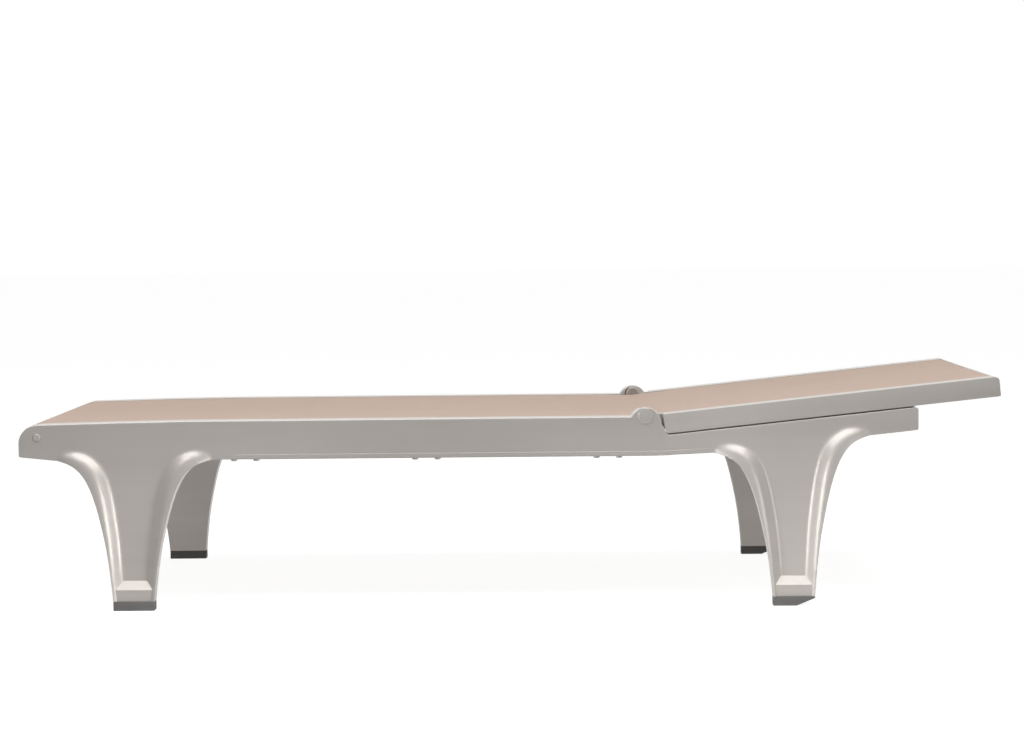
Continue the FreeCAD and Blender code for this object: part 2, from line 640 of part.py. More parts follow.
def spreader_bar(name, index):
    """Hollow cross bar whose solid ends lie in the rails' channels, on their lower flanges."""
    middle = FIRST_BAR_X + BAR_SPACING * index
    low = RAIL_BOTTOM + s.wall
    half = RAIL_OUT - s.wall - s.clearance
    body = padded(name + "_beam", [(middle - s.bar_width / 2, low), (middle + s.bar_width / 2, low),
                         (middle + s.bar_width / 2, low + s.bar_height - s.bar_round),
                         (middle + s.bar_width / 2 - s.bar_round, low + s.bar_height),
                         (middle - s.bar_width / 2 + s.bar_round, low + s.bar_height),
                         (middle - s.bar_width / 2, low + s.bar_height - s.bar_round)], half * 2)
    hollow = box(name + "_hollow",
                 (middle - s.bar_width / 2 + s.bar_wall, -RAIL_IN, low - s.overrun),
                 (middle + s.bar_width / 2 - s.bar_wall, RAIL_IN, low + s.bar_height - s.bar_wall))
    tools = [hollow]
    side_y = (RAIL_IN + RAIL_OUT - s.wall) / 2
    for number, (side, hand) in enumerate(((-1, -1), (-1, 1), (1, -1), (1, 1))):
        bore = doc.addObject("Part::Cylinder", name + "_bore%d" % number)
        bore.setExpression("Radius", (s.screw_diameter / 2 + s.clearance).text)
        bore.setExpression("Height", (s.screw_length - s.wall + s.overrun * 2).text)
        place(bore, middle + s.screw_spacing / 2 * side, side_y * hand, low - s.overrun)
        tools.append(bore)
    return keep(cut(name + "_cut", body, tools), name)


def foot_pad(name, foot_x, wheeled):
    """Dark pad under a leg, with a plug that goes up into the leg's socket."""
    toe_x = foot_x + s.foot_length
    outline = [(foot_x, 0), (toe_x, 0), (toe_x, s.pad_height), (foot_x, s.pad_height)]
    if wheeled:
        outline[1:2] = [(foot_x + s.heel_flat, 0), (toe_x, s.heel_rise)]
    pad = padded(name + "_pad", outline, s.foot_depth)
    place(pad, 0, -(FEET_OUT + FEET_IN) / 2, 0)
    wheel_x = toe_x - s.wheel_from_toe
    room = s.wheel_radius + s.overrun
    end = s.socket_end + s.clearance
    plug_end = wheel_x - room - s.plug_wheel_gap if wheeled else toe_x - end
    plug = box(name + "_plug", (foot_x + end, -SOCKET_OUT + s.clearance, s.pad_height - s.overrun),
               (plug_end, -SOCKET_IN - s.clearance, s.pad_height + s.plug_height))
    if not wheeled:
        return fuse(name, [pad, plug])
    axle_half = s.wheel_width / 2 + s.axle_reach + s.clearance
    well_half = s.wheel_width / 2 + s.wheel_gap
    tools = [box(name + "_well", (wheel_x - room, WHEEL_Y - well_half, -s.overrun),
                 (wheel_x + room, WHEEL_Y + well_half, s.pad_height + s.overrun)),
             cylinder_y(name + "_bore", s.axle_diameter / 2 + s.pin_clearance, wheel_x,
                        WHEEL_Y - axle_half, WHEEL_Y + axle_half, s.wheel_lift + s.wheel_radius)]
    return cut(name, fuse(name + "_solid", [pad, plug]), tools)


def prop_stay():
    """U-shaped stay, drawn along X from its pivots and then set at its slope on the backrest."""
    radius = s.foot_tube_diameter / 2
    pieces = []
    for number, start in enumerate((-STAY_OUT, STAY_OUT - s.stay_thickness)):
        end = start + s.stay_thickness
        pieces.append(box("stay_bar%d" % number, (0, start, -s.stay_height / 2),
                          (STAY_LENGTH, end, s.stay_height / 2)))
        pieces.append(cylinder_y("stay_eye%d" % number, s.stay_eye / 2, 0, start, end, 0))
        pieces.append(cylinder_y("stay_toe%d" % number, s.stay_height / 2, STAY_LENGTH, start, end, 0))
    tube_half = RAIL_IN - s.overrun
    pieces.append(cylinder_y("stay_tube", radius, STAY_LENGTH, -tube_half, tube_half, 0))
    whole = fuse("stay_solid", pieces)
    bores = [cylinder_y("stay_bore", s.prop_pin_diameter / 2 + s.pin_clearance, 0, -RAIL_IN, RAIL_IN, 0)]
    stay = cut("prop_stay", whole, bores)
    slope = math.degrees(math.atan2(STAY[1].value, STAY[0].value))
    stay.Placement = Placement(Vector(), Rotation(Vector(0, -1, 0), slope))
    place(stay, HINGE_X + PIVOT[0], 0, HINGE_Z + PIVOT[1])
    return keep(stay, "prop_stay")


# Side frames and the bars between them
pair(feature("side_frame_left", side_frame(), kept=False), "side_frame")
feature("foot_end_bar", foot_end_bar())
for index, name in enumerate(("spreader_bar_front", "spreader_bar_middle", "spreader_bar_rear")):
    spreader_bar(name, index)
rear_low, rear_high = -(s.rear_bar_drop + s.rear_bar_height), -s.rear_bar_drop
rear_bar_end = REAR_BAR_START + s.rear_bar_width
feature("rear_cross_bar", back_prism(
    [(REAR_BAR_START, rear_low, s.edge_radius), (rear_bar_end, rear_low, s.edge_radius),
     (rear_bar_end, rear_high, s.edge_radius), (REAR_BAR_START, rear_high, s.edge_radius)],
    -RAIL_IN, RAIL_IN))
pair(feature("notch_rack_left", notch_rack(), kept=False), "notch_rack")

# Feet and wheels
pair(foot_pad("front_foot", FRONT_FOOT_X, False), "front_foot")
pair(foot_pad("rear_foot", REAR_FOOT_X, True), "rear_foot")
WHEEL_X = REAR_FOOT_X + s.foot_length - s.wheel_from_toe
WHEEL_Z = s.wheel_lift + s.wheel_radius
half_width = s.wheel_width / 2
tread = s.wheel_radius - s.wheel_groove
wheel = turned("wheel", [
    (s.axle_diameter / 2 + s.pin_clearance, -half_width), (tread, -half_width),
    (s.wheel_radius, -half_width + s.wheel_groove), (s.wheel_radius, -s.wheel_groove),
    (tread, 0), (s.wheel_radius, s.wheel_groove), (s.wheel_radius, half_width - s.wheel_groove),
    (tread, half_width), (s.axle_diameter / 2 + s.pin_clearance, half_width)])
place(wheel, WHEEL_X, WHEEL_Y, WHEEL_Z)
pair(wheel, "wheel")
axle_half = s.wheel_width / 2 + s.axle_reach
axle = turned("wheel_axle", [(0, -axle_half), (s.axle_diameter / 2, -axle_half),
                             (s.axle_diameter / 2, axle_half), (0, axle_half)])
place(axle, WHEEL_X, WHEEL_Y, WHEEL_Z)
pair(axle, "wheel_axle")

# Recline pivots: the pin is held in the ear and the hub turns on it
pin_outer = -RAIL_OUT + s.cap_recess + s.clearance
pin = turned("pivot_pin", [
    (0, pin_outer), (s.pin_diameter / 2, pin_outer), (s.pin_diameter / 2, -HUB_IN + s.clearance),
    (s.pin_head_diameter / 2, -HUB_IN + s.clearance),
    (s.pin_head_diameter / 2, -HUB_IN + s.clearance + s.pin_head), (0, -HUB_IN + s.clearance + s.pin_head)])
place(pin, HINGE_X, 0, HINGE_Z)
pair(pin, "pivot_pin")
washer_start = -EAR_WALL_IN + (s.hub_gap - s.washer_thickness) / 2
washer_bore = s.pin_diameter / 2 + s.clearance
washer = turned("pivot_washer", [
    (washer_bore, washer_start), (s.washer_diameter / 2, washer_start),
    (s.washer_diameter / 2, washer_start + s.washer_thickness),
    (washer_bore, washer_start + s.washer_thickness)])
place(washer, HINGE_X, 0, HINGE_Z)
pair(washer, "pivot_washer")
cap_edge = s.cap_diameter / 2
cap = turned("pivot_cap", [
    (0, -RAIL_OUT - s.cap_proud), (cap_edge - s.cap_proud * 2, -RAIL_OUT - s.cap_proud),
    (cap_edge, -RAIL_OUT - s.cap_proud / 2), (cap_edge, -RAIL_OUT + s.cap_recess),
    (0, -RAIL_OUT + s.cap_recess)])
place(cap, HINGE_X, 0, HINGE_Z)
pair(cap, "pivot_cap")

# Backrest
pair(feature("back_rail_left", back_rail(), kept=False), "back_rail")
head_start = BACK_REACH - s.head_bar_width
feature("head_bar", back_prism(
    [(head_start, -s.back_depth, s.edge_radius), (BACK_REACH, -s.back_depth, s.edge_radius),
     (BACK_REACH, 0, s.head_radius), (head_start, 0, s.edge_radius)], -RAIL_IN, RAIL_IN))
for name, start in (("back_lower_bar", s.lower_bar_start), ("back_upper_bar", UPPER_BAR_START)):
    end = start + s.back_bar_width
    low, high = -(s.back_bar_drop + s.back_bar_height), -s.back_bar_drop
    feature(name, back_prism([(start, low, s.edge_radius), (end, low, s.edge_radius),
                              (end, high, s.edge_radius), (start, high, s.edge_radius)], -RAIL_IN, RAIL_IN))

# Stay and its pins, which are held in the back rails
prop_stay()
pin_start, pin_end = -RAIL_IN - s.stay_inset + s.clearance, -STAY_OUT + s.stay_thickness + s.clearance
prop_pin = turned("prop_pin", [
    (0, pin_start), (s.prop_pin_diameter / 2, pin_start), (s.prop_pin_diameter / 2, pin_end),
    (s.prop_pin_diameter / 2 + s.prop_pin_head, pin_end),
    (s.prop_pin_diameter / 2 + s.prop_pin_head, pin_end + s.prop_pin_head), (0, pin_end + s.prop_pin_head)])
place(prop_pin, HINGE_X + PIVOT[0], 0, HINGE_Z + PIVOT[1])
pair(prop_pin, "prop_pin")

# Sling and the welts that hold its edges in the grooves
sling_half = s.sling_thickness / 2
welt_half = s.groove_height / 2 - s.clearance
sling_edge = RAIL_IN + s.groove_inset - s.clearance
welt_in = -RAIL_IN - s.groove_inset - s.clearance
welt_out = -RAIL_IN - s.groove_inset - s.groove_width + s.clearance
seat_start, seat_end = FOOT_END + s.foot_bar_width + s.clearance, HINGE_X - s.sling_end_gap
wrap_half = RAIL_IN - s.clearance
wrap_low = NOSE_BOTTOM + s.wall
outer, inner = FOOT_END, FOOT_END + s.sling_thickness
tail_top = rail_top_at(WRAP_END) - s.sling_drop + sling_half
wrap = prism([(WRAP_END, tail_top, 0), (outer, WRAP_TOP, s.nose_radius), (outer, wrap_low, 0),
              (inner, wrap_low, 0), (inner, WRAP_TOP - s.sling_thickness, s.nose_radius - s.sling_thickness),
              (WRAP_END, tail_top - s.sling_thickness, 0)], -wrap_half, wrap_half)
flat = rail_ribbon(s.sling_drop - sling_half, s.sling_drop + sling_half, WRAP_END, seat_end,
                   -sling_edge, sling_edge)
feature("seat_sling", flat.fuse(wrap).removeSplitter())
pair(feature("seat_welt_left", rail_ribbon(s.sling_drop - welt_half, s.sling_drop + welt_half, seat_start,
                                           seat_end, welt_out, welt_in), kept=False), "seat_welt")
back_start, back_end = s.back_sling_start + s.clearance, head_start - s.clearance


def back_strip(half, start_y, end_y):
    low, high = -half - s.sling_drop, half - s.sling_drop
    return back_prism([(back_start, low, 0), (back_end, low, 0), (back_end, high, 0), (back_start, high, 0)],
                      start_y, end_y)


feature("back_sling", back_strip(sling_half, -sling_edge, sling_edge))
pair(feature("back_welt_left", back_strip(welt_half, welt_out, welt_in), kept=False), "back_welt")

# Fasteners, each kind in one group
shank, head = s.screw_diameter / 2, s.screw_head_diameter / 2
screw = turned("spreader_screw", [
    (0, -s.screw_head_height), (head - s.edge_radius / 2, -s.screw_head_height),
    (head, -s.screw_head_height + s.edge_radius / 2), (head, 0), (shank, 0), (shank, s.screw_length),
    (0, s.screw_length)], upright=True)
nose_x, nose_z = FOOT_END + s.nose_bolt_from_foot_end, NOSE_BOLT_Z
bolt_start = -RAIL_OUT + s.nose_plug_recess + s.clearance
bolt = turned("nose_bolt", [(0, bolt_start), (s.bolt_diameter / 2, bolt_start),
                            (s.bolt_diameter / 2, -RAIL_OUT + s.bolt_length), (0, -RAIL_OUT + s.bolt_length)])
plug_edge = s.nose_plug_diameter / 2
plug = turned("nose_plug", [
    (0, -RAIL_OUT - s.plug_proud), (plug_edge - s.plug_proud, -RAIL_OUT - s.plug_proud),
    (plug_edge, -RAIL_OUT),
    (plug_edge, -RAIL_OUT + s.nose_plug_recess), (0, -RAIL_OUT + s.nose_plug_recess)])
doc.recompute()
feature("spreader_screws", Part.Compound(
    [screw.Shape.translated(vec(x, y, RAIL_BOTTOM)) for x, y in screw_places()]))
for source, name in ((bolt, "nose_bolts"), (plug, "nose_plugs")):
    left = source.Shape.translated(vec(nose_x, 0, nose_z))
    feature(name, Part.Compound([left, left.mirror(Vector(), Vector(0, 1, 0))]))

# Check every object, then write each sub-part to its own file
doc.recompute()
for item in doc.Objects:
    if "Invalid" in item.State or "Error" in item.State:
        raise RuntimeError(item.Label + " failed: " + ", ".join(item.State))
for item in made:
    if item.Shape.isNull() or not item.Shape.isValid():
        raise RuntimeError(item.Label + " has no valid shape")
os.makedirs("parts", exist_ok=True)
for item in made:
    item.Shape.exportStep("parts/" + item.Label + ".step")
    print(item.Label, len(item.Shape.Solids), "solids", round(item.Shape.Volume / 1000, 1), "cm3")
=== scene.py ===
# %% [markdown]
# # A sun lounger in moulded resin and stretched textile
# The CAD model fixes every size and every joint. This notebook dresses it: it rounds the moulded edges,
# stretches one sling from the foot end to the head end, and gives each piece its finish.
# X runs from the foot end to the head end, Y across, Z up, all in metres.

# %% Load the frame
import json
import math
from collections import Counter, namedtuple

import bpy
from mathutils import Matrix, Vector
from mathutils.kdtree import KDTree

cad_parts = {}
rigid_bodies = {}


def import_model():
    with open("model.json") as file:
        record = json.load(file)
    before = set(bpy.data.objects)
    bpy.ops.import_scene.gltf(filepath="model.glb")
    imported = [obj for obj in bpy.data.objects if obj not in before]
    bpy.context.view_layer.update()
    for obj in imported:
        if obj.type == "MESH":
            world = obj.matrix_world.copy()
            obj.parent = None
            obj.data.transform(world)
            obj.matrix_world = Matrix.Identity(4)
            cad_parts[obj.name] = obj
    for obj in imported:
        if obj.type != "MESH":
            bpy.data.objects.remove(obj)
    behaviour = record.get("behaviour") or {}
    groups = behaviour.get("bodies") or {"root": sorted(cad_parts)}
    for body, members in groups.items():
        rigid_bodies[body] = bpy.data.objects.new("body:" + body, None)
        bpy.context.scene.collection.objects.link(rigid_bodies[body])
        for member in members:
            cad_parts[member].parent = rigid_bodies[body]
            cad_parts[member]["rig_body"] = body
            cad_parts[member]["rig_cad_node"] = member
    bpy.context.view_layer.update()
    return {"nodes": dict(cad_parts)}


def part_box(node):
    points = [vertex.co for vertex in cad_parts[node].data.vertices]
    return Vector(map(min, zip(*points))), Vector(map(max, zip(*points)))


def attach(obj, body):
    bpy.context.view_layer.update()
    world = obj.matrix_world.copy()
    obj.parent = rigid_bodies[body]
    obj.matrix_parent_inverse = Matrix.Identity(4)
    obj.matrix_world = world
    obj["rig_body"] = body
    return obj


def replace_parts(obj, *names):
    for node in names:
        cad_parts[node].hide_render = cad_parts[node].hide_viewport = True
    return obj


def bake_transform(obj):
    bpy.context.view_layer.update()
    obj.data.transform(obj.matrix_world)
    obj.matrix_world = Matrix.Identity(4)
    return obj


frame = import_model()
nodes = frame["nodes"]

# %% [markdown]
# ## The camera
# The lounger is seen from its side, a little from above, with a long lens, so both ends stay nearly the
# same size. The place and the small turn and tilt come from matching corners of the model to the picture.

# %% Camera
PICTURE_WIDTH = 1024
FOCAL_PIXELS = 2162.6
SENSOR = 36.0
CAMERA_PLACE = Vector((0.05885, -4.48347, 0.74176))
CAMERA_PITCH, CAMERA_YAW, CAMERA_ROLL = 0.06573, -0.01196, -0.01022

forward = Vector((math.sin(CAMERA_YAW) * math.cos(CAMERA_PITCH),
                  math.cos(CAMERA_YAW) * math.cos(CAMERA_PITCH), -math.sin(CAMERA_PITCH)))
level = Vector((math.cos(CAMERA_YAW), -math.sin(CAMERA_YAW), 0))
upright = level.cross(forward)
right = level * math.cos(CAMERA_ROLL) + upright * math.sin(CAMERA_ROLL)
above = upright * math.cos(CAMERA_ROLL) - level * math.sin(CAMERA_ROLL)

camera_data = bpy.data.cameras.new("side_camera")
camera_data.sensor_width = SENSOR
camera_data.lens = FOCAL_PIXELS / PICTURE_WIDTH * SENSOR
camera = bpy.data.objects.new("side_camera", camera_data)
bpy.context.scene.collection.objects.link(camera)
turn = Matrix((right, above, -forward)).transposed().to_4x4()
camera.matrix_world = Matrix.Translation(CAMERA_PLACE) @ turn
bpy.context.scene.camera = camera
bpy.context.scene.view_settings.view_transform = "Standard"
print("lens", round(camera_data.lens, 2), "mm")

# %% [markdown]
# ## Writing shaders as sums
# A finish is easier to read as arithmetic than as a web of nodes. `Channel` wraps one socket, and the
# usual operators on it add Math nodes. `Finish.node` makes every other node: its kind, its settings,
# and then the values or links of its sockets.

# %% Channel and Finish
class Channel:
    """One output socket. Python's operators on it add Math nodes to its finish."""

    def __init__(self, finish, socket):
        self.finish = finish
        self.socket = socket

    def maths(self, operation, *values, clamp=False):
        settings = {"operation": operation, "use_clamp": clamp}
        return self.finish.node("ShaderNodeMath", settings, dict(enumerate(values)))

    def __add__(self, other):
        return self.maths("ADD", self, other)

    def __radd__(self, other):
        return self.maths("ADD", other, self)

    def __sub__(self, other):
        return self.maths("SUBTRACT", self, other)

    def __rsub__(self, other):
        return self.maths("SUBTRACT", other, self)

    def __mul__(self, other):
        return self.maths("MULTIPLY", self, other)

    def __rmul__(self, other):
        return self.maths("MULTIPLY", other, self)

    def __gt__(self, other):
        return self.maths("GREATER_THAN", self, other)

    def sine(self):
        return self.maths("SINE", self)

    def size(self):
        return self.maths("ABSOLUTE", self)

    def at_least(self, other):
        return self.maths("MAXIMUM", self, other)

    def clamped(self):
        return self.maths("ADD", self, 0.0, clamp=True)


class Finish:
    """A node tree, of a material or of the world, that is filled one node at a time."""

    def __init__(self, owner):
        owner.use_nodes = True
        self.owner = owner
        self.tree = owner.node_tree
        self.tree.nodes.clear()

    def node(self, kind, settings=None, inputs=None, out=0):
        """Make a node from its kind, settings and inputs, and return one of its outputs."""
        made = self.tree.nodes.new(kind)
        for name, value in (settings or {}).items():
            setattr(made, name, value)
        for key, value in (inputs or {}).items():
            if isinstance(value, Channel):
                self.tree.links.new(value.socket, made.inputs[key])
            else:
                made.inputs[key].default_value = value
        return Channel(self, made.outputs[out]) if len(made.outputs) else None

    def blend(self, share, first, second):
        """A colour between two others."""
        return self.node("ShaderNodeMix", {"data_type": "RGBA"}, {0: share, 6: first, 7: second}, out=2)

    def noise(self, where, scale, detail=2.0, roughness=0.5):
        """Noise of that many bumps per metre."""
        inputs = {"Vector": where, "Scale": scale, "Detail": detail, "Roughness": roughness}
        return self.node("ShaderNodeTexNoise", {}, inputs)

    def stretched(self, where, scale):
        """Coordinates that count faster along some axes than along others."""
        return self.node("ShaderNodeMapping", {}, {"Vector": where, "Scale": scale})

    def surface(self, bump_height, bump_depth, **sockets):
        """Close the finish with a Principled shader and a Bump node of that depth in metres."""
        inputs = {name.replace("_", " "): value for name, value in sockets.items()}
        inputs["Normal"] = self.node("ShaderNodeBump", {}, {"Height": bump_height, "Distance": bump_depth})
        shader = self.node("ShaderNodeBsdfPrincipled", {}, inputs)
        self.node("ShaderNodeOutputMaterial", {}, {"Surface": shader})
        return self.owner


def srgb(red, green, blue):
    """A display colour, 0 to 255, as the linear colour that shaders use."""
    def linear(value):
        value = value / 255
        return value / 12.92 if value <= 0.04045 else ((value + 0.055) / 1.055) ** 2.4
    return (linear(red), linear(green), linear(blue), 1.0)


def new_finish(name):
    """A new material, ready to be filled."""
    return Finish(bpy.data.materials.new(name))


print("shader helpers ready")

# %% [markdown]
# ## Pearl resin
# The frame is injection-moulded resin with a mineral pearl pigment: warm grey, satin, with soft clouds
# where the pigment flowed, faint flow streaks along each beam, and a fine spark-eroded grain that breaks
# up the highlight. Noise at three sizes gives these, and the finest one feeds the bump. Near the ground
# the resin picks up dust, and thin scratches run over it. The faces that round the edges get a second,
# smoother resin that is painted paler: a painted highlight along the edges.

# %% Resin finish
CLOUD_SCALE, FLAKE_SCALE, GRAIN_SCALE, DUST_SCALE = 4.0, 1500.0, 900.0, 60.0
STREAK_STRETCH, SCRATCH_STRETCH = (2.0, 40.0, 55.0), (14.0, 260.0, 420.0)
SCRATCH_FROM, SCRATCH_GAIN = 0.66, 9.0
DUST_FALL, DUST_SHARE, DUST_COLOUR = 9.0, 0.16, srgb(168, 158, 146)
GRAIN_DEPTH = 0.00012


def resin_finish(name, dark, light, gloss):
    """Satin resin between two tones, as rough as its gloss value says."""
    finish = new_finish(name)
    where = finish.node("ShaderNodeTexCoord", out="Object")
    clouds = finish.noise(where, CLOUD_SCALE, 3.0)
    streaks = finish.noise(finish.stretched(where, STREAK_STRETCH), 1.0)
    flakes = finish.noise(where, FLAKE_SCALE, 1.0)
    grain = finish.noise(where, GRAIN_SCALE, 2.0, 0.6)
    scratch = finish.noise(finish.stretched(where, SCRATCH_STRETCH), 1.0, 3.0)
    scratch = ((scratch - SCRATCH_FROM) * SCRATCH_GAIN).clamped()
    height = finish.node("ShaderNodeSeparateXYZ", {}, {"Vector": where}, out="Z")
    dust = ((1 - height * DUST_FALL).clamped() * finish.noise(where, DUST_SCALE, 4.0, 0.65)).clamped()
    share = (clouds * 0.9 + streaks * 0.5 + flakes * 0.35 + scratch * 0.4 - 0.375).clamped()
    colour = finish.blend((dust * DUST_SHARE).clamped(), finish.blend(share, dark, light), DUST_COLOUR)
    rough = (gloss + 0.12 * (clouds - 0.5) + 0.1 * (grain - 0.5) + 0.2 * dust - 0.1 * scratch).clamped()
    return finish.surface(grain - 0.3 * scratch, GRAIN_DEPTH, Base_Color=colour, Roughness=rough,
                          Metallic=(0.22 + 0.12 * flakes).clamped(), IOR=1.5)


resin = resin_finish("pearl_resin", srgb(198, 192, 186), srgb(210, 205, 200), 0.36)
# A paler, smoother copy of the resin for the faces that round the edges: a painted highlight along them.
edge_highlight = resin_finish("edge_highlight_resin", srgb(208, 203, 198), srgb(220, 216, 211), 0.28)
cap_resin = resin_finish("cap_resin", srgb(200, 195, 190), srgb(212, 208, 204), 0.36)
print(resin.name, edge_highlight.name, cap_resin.name)

# %% [markdown]
# ## Woven sling
# The sling is a mesh of coated yarns, two over and two under, drawn tight between the rails. The weave is
# far finer than the mesh can be, so it is worked out from the sheet's own UV map, which is in metres:
# each yarn is a rounded ridge, and the two sets take turns on top.

# %% Sling finish
YARN_PITCH, YARN_HEIGHT = 0.0021, 0.0004
SLUB_STRETCH = (160.0, 6.0, 1.0)
FADE_SCALE = 9.0


def sling_finish(name):
    """Woven yarns with painted shade in the gaps and on the yarns' flanks, with slubs along the yarns and
    faint clouds.
    """
    finish = new_finish(name)
    uv = finish.node("ShaderNodeUVMap", {"uv_map": "cloth"})
    across = finish.node("ShaderNodeSeparateXYZ", {}, {"Vector": uv}, out="X")
    along = finish.node("ShaderNodeSeparateXYZ", {}, {"Vector": uv}, out="Y")
    step = math.pi / YARN_PITCH
    warp = (across * step).sine().size()
    weft = (along * step).sine().size()
    turns = ((across * (step / 2)).sine() * (along * (step / 2)).sine()) > 0.0
    ridge = warp * turns + weft * (1 - turns)
    # Painted shade: darkest in the gaps between the yarns.
    gap = (1 - warp.at_least(weft)).clamped()
    where = finish.node("ShaderNodeTexCoord", out="Object")
    clouds = finish.noise(where, FADE_SCALE, 3.0)
    slubs = finish.noise(finish.stretched(uv, SLUB_STRETCH), 1.0)
    tone = (0.5 * turns + 0.35 * slubs + 0.5 * clouds - 0.2).clamped()
    yarn = finish.blend(tone, srgb(202, 177, 160), srgb(222, 201, 186))
    # The dark colour is painted shade, laid into the gaps and lightly over each yarn's flanks.
    shaded = finish.blend((gap * 0.8 + (1 - ridge) * 0.12).clamped(), yarn, srgb(136, 111, 98))
    rough = (0.62 + 0.16 * (1 - ridge)).clamped()
    return finish.surface(ridge, YARN_HEIGHT, Base_Color=shaded, Roughness=rough, IOR=1.46)


sling_cloth = sling_finish("woven_sling")
print(sling_cloth.name, "pitch", YARN_PITCH)

# %% [markdown]
# ## Rubber, steel and liner
# The feet are soft dark rubber, dusty and scuffed where they meet the ground. Pins and bolts are bright
# zinc-plated steel, and the welts that hold the sling are plain extruded liner.

# %% Rubber, steel and liner finishes
PORE_SCALE, PORE_DEPTH = 700.0, 0.00025
SMUDGE_SCALE, SCUFF_FALL = 45.0, 120.0
BRUSH_STRETCH, BRUSH_DEPTH, SPANGLE_SCALE = (900.0, 60.0, 900.0), 0.00003, 220.0


def rubber_finish(name, dark, light):
    """Matt, porous rubber or plastic, scuffed pale close to the ground."""
    finish = new_finish(name)
    where = finish.node("ShaderNodeTexCoord", out="Object")
    pores = finish.noise(where, PORE_SCALE, 3.0, 0.65)
    dust = finish.noise(where, SMUDGE_SCALE, 4.0, 0.6)
    height = finish.node("ShaderNodeSeparateXYZ", {}, {"Vector": where}, out="Z")
    scuff = ((1 - height * SCUFF_FALL).clamped() * dust).clamped()
    tone = (0.55 * dust + 0.3 * pores + 0.5 * scuff).clamped()
    rough = (0.72 + 0.2 * dust).clamped()
    return finish.surface(pores, PORE_DEPTH, Base_Color=finish.blend(tone, dark, light), Roughness=rough)


def steel_finish(name):
    """Zinc-plated steel: brushed, with faint spangles."""
    finish = new_finish(name)
    where = finish.node("ShaderNodeTexCoord", out="Object")
    brush = finish.noise(finish.stretched(where, BRUSH_STRETCH), 1.0)
    spangle = finish.noise(where, SPANGLE_SCALE)
    colour = finish.blend(spangle, srgb(170, 172, 174), srgb(205, 206, 207))
    rough = (0.24 + 0.2 * spangle).clamped()
    return finish.surface(brush, BRUSH_DEPTH, Base_Color=colour, Roughness=rough, Metallic=1.0)


rubber = rubber_finish("foot_rubber", srgb(102, 100, 98), srgb(132, 130, 128))
tyre = rubber_finish("wheel_plastic", srgb(92, 91, 90), srgb(118, 117, 116))
liner = rubber_finish("welt_liner", srgb(150, 134, 122), srgb(176, 158, 146))
steel = steel_finish("zinc_steel")
print([m.name for m in (rubber, tyre, liner, steel)])

# %% [markdown]
# ## Rounding the moulded edges
# No moulded edge is a knife edge. The CAD nodes arrive as loose triangles, so each visible one is copied,
# its triangles are joined up, flat faces are cleared of needless edges, and a Bevel modifier rounds
# every edge that is sharper than a given angle. The copy then stands for its node. The side frames are
# rounded in a way of their own, below.

# %% Welded copies and soft edges
WELD_GAP = 0.00001
FLAT_ANGLE = math.radians(0.4)
SHARP_ANGLE = math.radians(32)


def select_only(*pieces):
    """Select these pieces and nothing else. The first one becomes the active one."""
    bpy.ops.object.select_all(action="DESELECT")
    for piece in pieces:
        piece.select_set(True)
    bpy.context.view_layer.objects.active = pieces[0]


def welded_copy(node, name):
    """A free copy of a CAD node with its triangles joined up."""
    piece = nodes[node].copy()
    piece.data = nodes[node].data.copy()
    piece.name = name
    piece.parent = None
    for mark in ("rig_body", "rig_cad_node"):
        del piece[mark]
    bpy.context.scene.collection.objects.link(piece)
    select_only(piece)
    bpy.ops.mesh.customdata_custom_splitnormals_clear()
    bpy.ops.object.mode_set(mode="EDIT")
    bpy.ops.mesh.select_all(action="SELECT")
    bpy.ops.mesh.remove_doubles(threshold=WELD_GAP)
    bpy.ops.mesh.dissolve_limited(angle_limit=FLAT_ANGLE)
    bpy.ops.object.mode_set(mode="OBJECT")
    return piece


def dress(piece, *materials):
    """Give a piece these materials and no others."""
    piece.data.materials.clear()
    for material in materials:
        piece.data.materials.append(material)


def soften(piece, width, rows=2):
    """Round the sharp edges of a piece. The new faces take its last material."""
    select_only(piece)
    bevel = piece.modifiers.new("soft_edges", "BEVEL")
    bevel.width = width
    bevel.segments = rows
    bevel.limit_method = "ANGLE"
    bevel.angle_limit = SHARP_ANGLE
    bevel.use_clamp_overlap = True
    bevel.material = len(piece.data.materials) - 1
    bpy.ops.object.modifier_apply(modifier=bevel.name)
    bpy.ops.object.shade_smooth_by_angle(angle=SHARP_ANGLE)


print("softening helpers ready")

# %% [markdown]
# ## Carving small details
# Tread grooves, rings and screw crosses are cut with a Boolean modifier: the cutters are made from
# primitives at their size and place, joined into one, used once and thrown away. `moulded` does all of
# it for one node: copy, carve, dress, round, and let the copy stand for the node.

# %% Cutters
RING_STEPS, RING_SIDES = 40, 8
CUT_SPARE = 0.01


def settle(piece):
    """Put a primitive's place, turn and size into its mesh."""
    select_only(piece)
    bpy.ops.object.transform_apply(location=True, rotation=True, scale=True)
    return piece


def block(low, high):
    """A box between two corners."""
    low, high = Vector(low), Vector(high)
    bpy.ops.object.select_all(action="DESELECT")
    bpy.ops.mesh.primitive_cube_add(size=1.0, location=(low + high) / 2, scale=high - low)
    return settle(bpy.context.active_object)


def ring(middle, radius, thickness):
    """A torus about an axis along Y."""
    bpy.ops.object.select_all(action="DESELECT")
    bpy.ops.mesh.primitive_torus_add(location=middle, rotation=(math.pi / 2, 0, 0),
                                     major_radius=radius, minor_radius=thickness,
                                     major_segments=RING_STEPS, minor_segments=RING_SIDES)
    return settle(bpy.context.active_object)


def carve(piece, cutters):
    """Cut all cutters out of a piece and throw them away."""
    select_only(*cutters)
    bpy.ops.object.join()
    cutter = bpy.context.active_object
    select_only(piece)
    tool = piece.modifiers.new("carving", "BOOLEAN")
    tool.operation = "DIFFERENCE"
    tool.solver = "EXACT"
    tool.use_self = True
    tool.object = cutter
    bpy.ops.object.modifier_apply(modifier=tool.name)
    bpy.data.objects.remove(cutter)


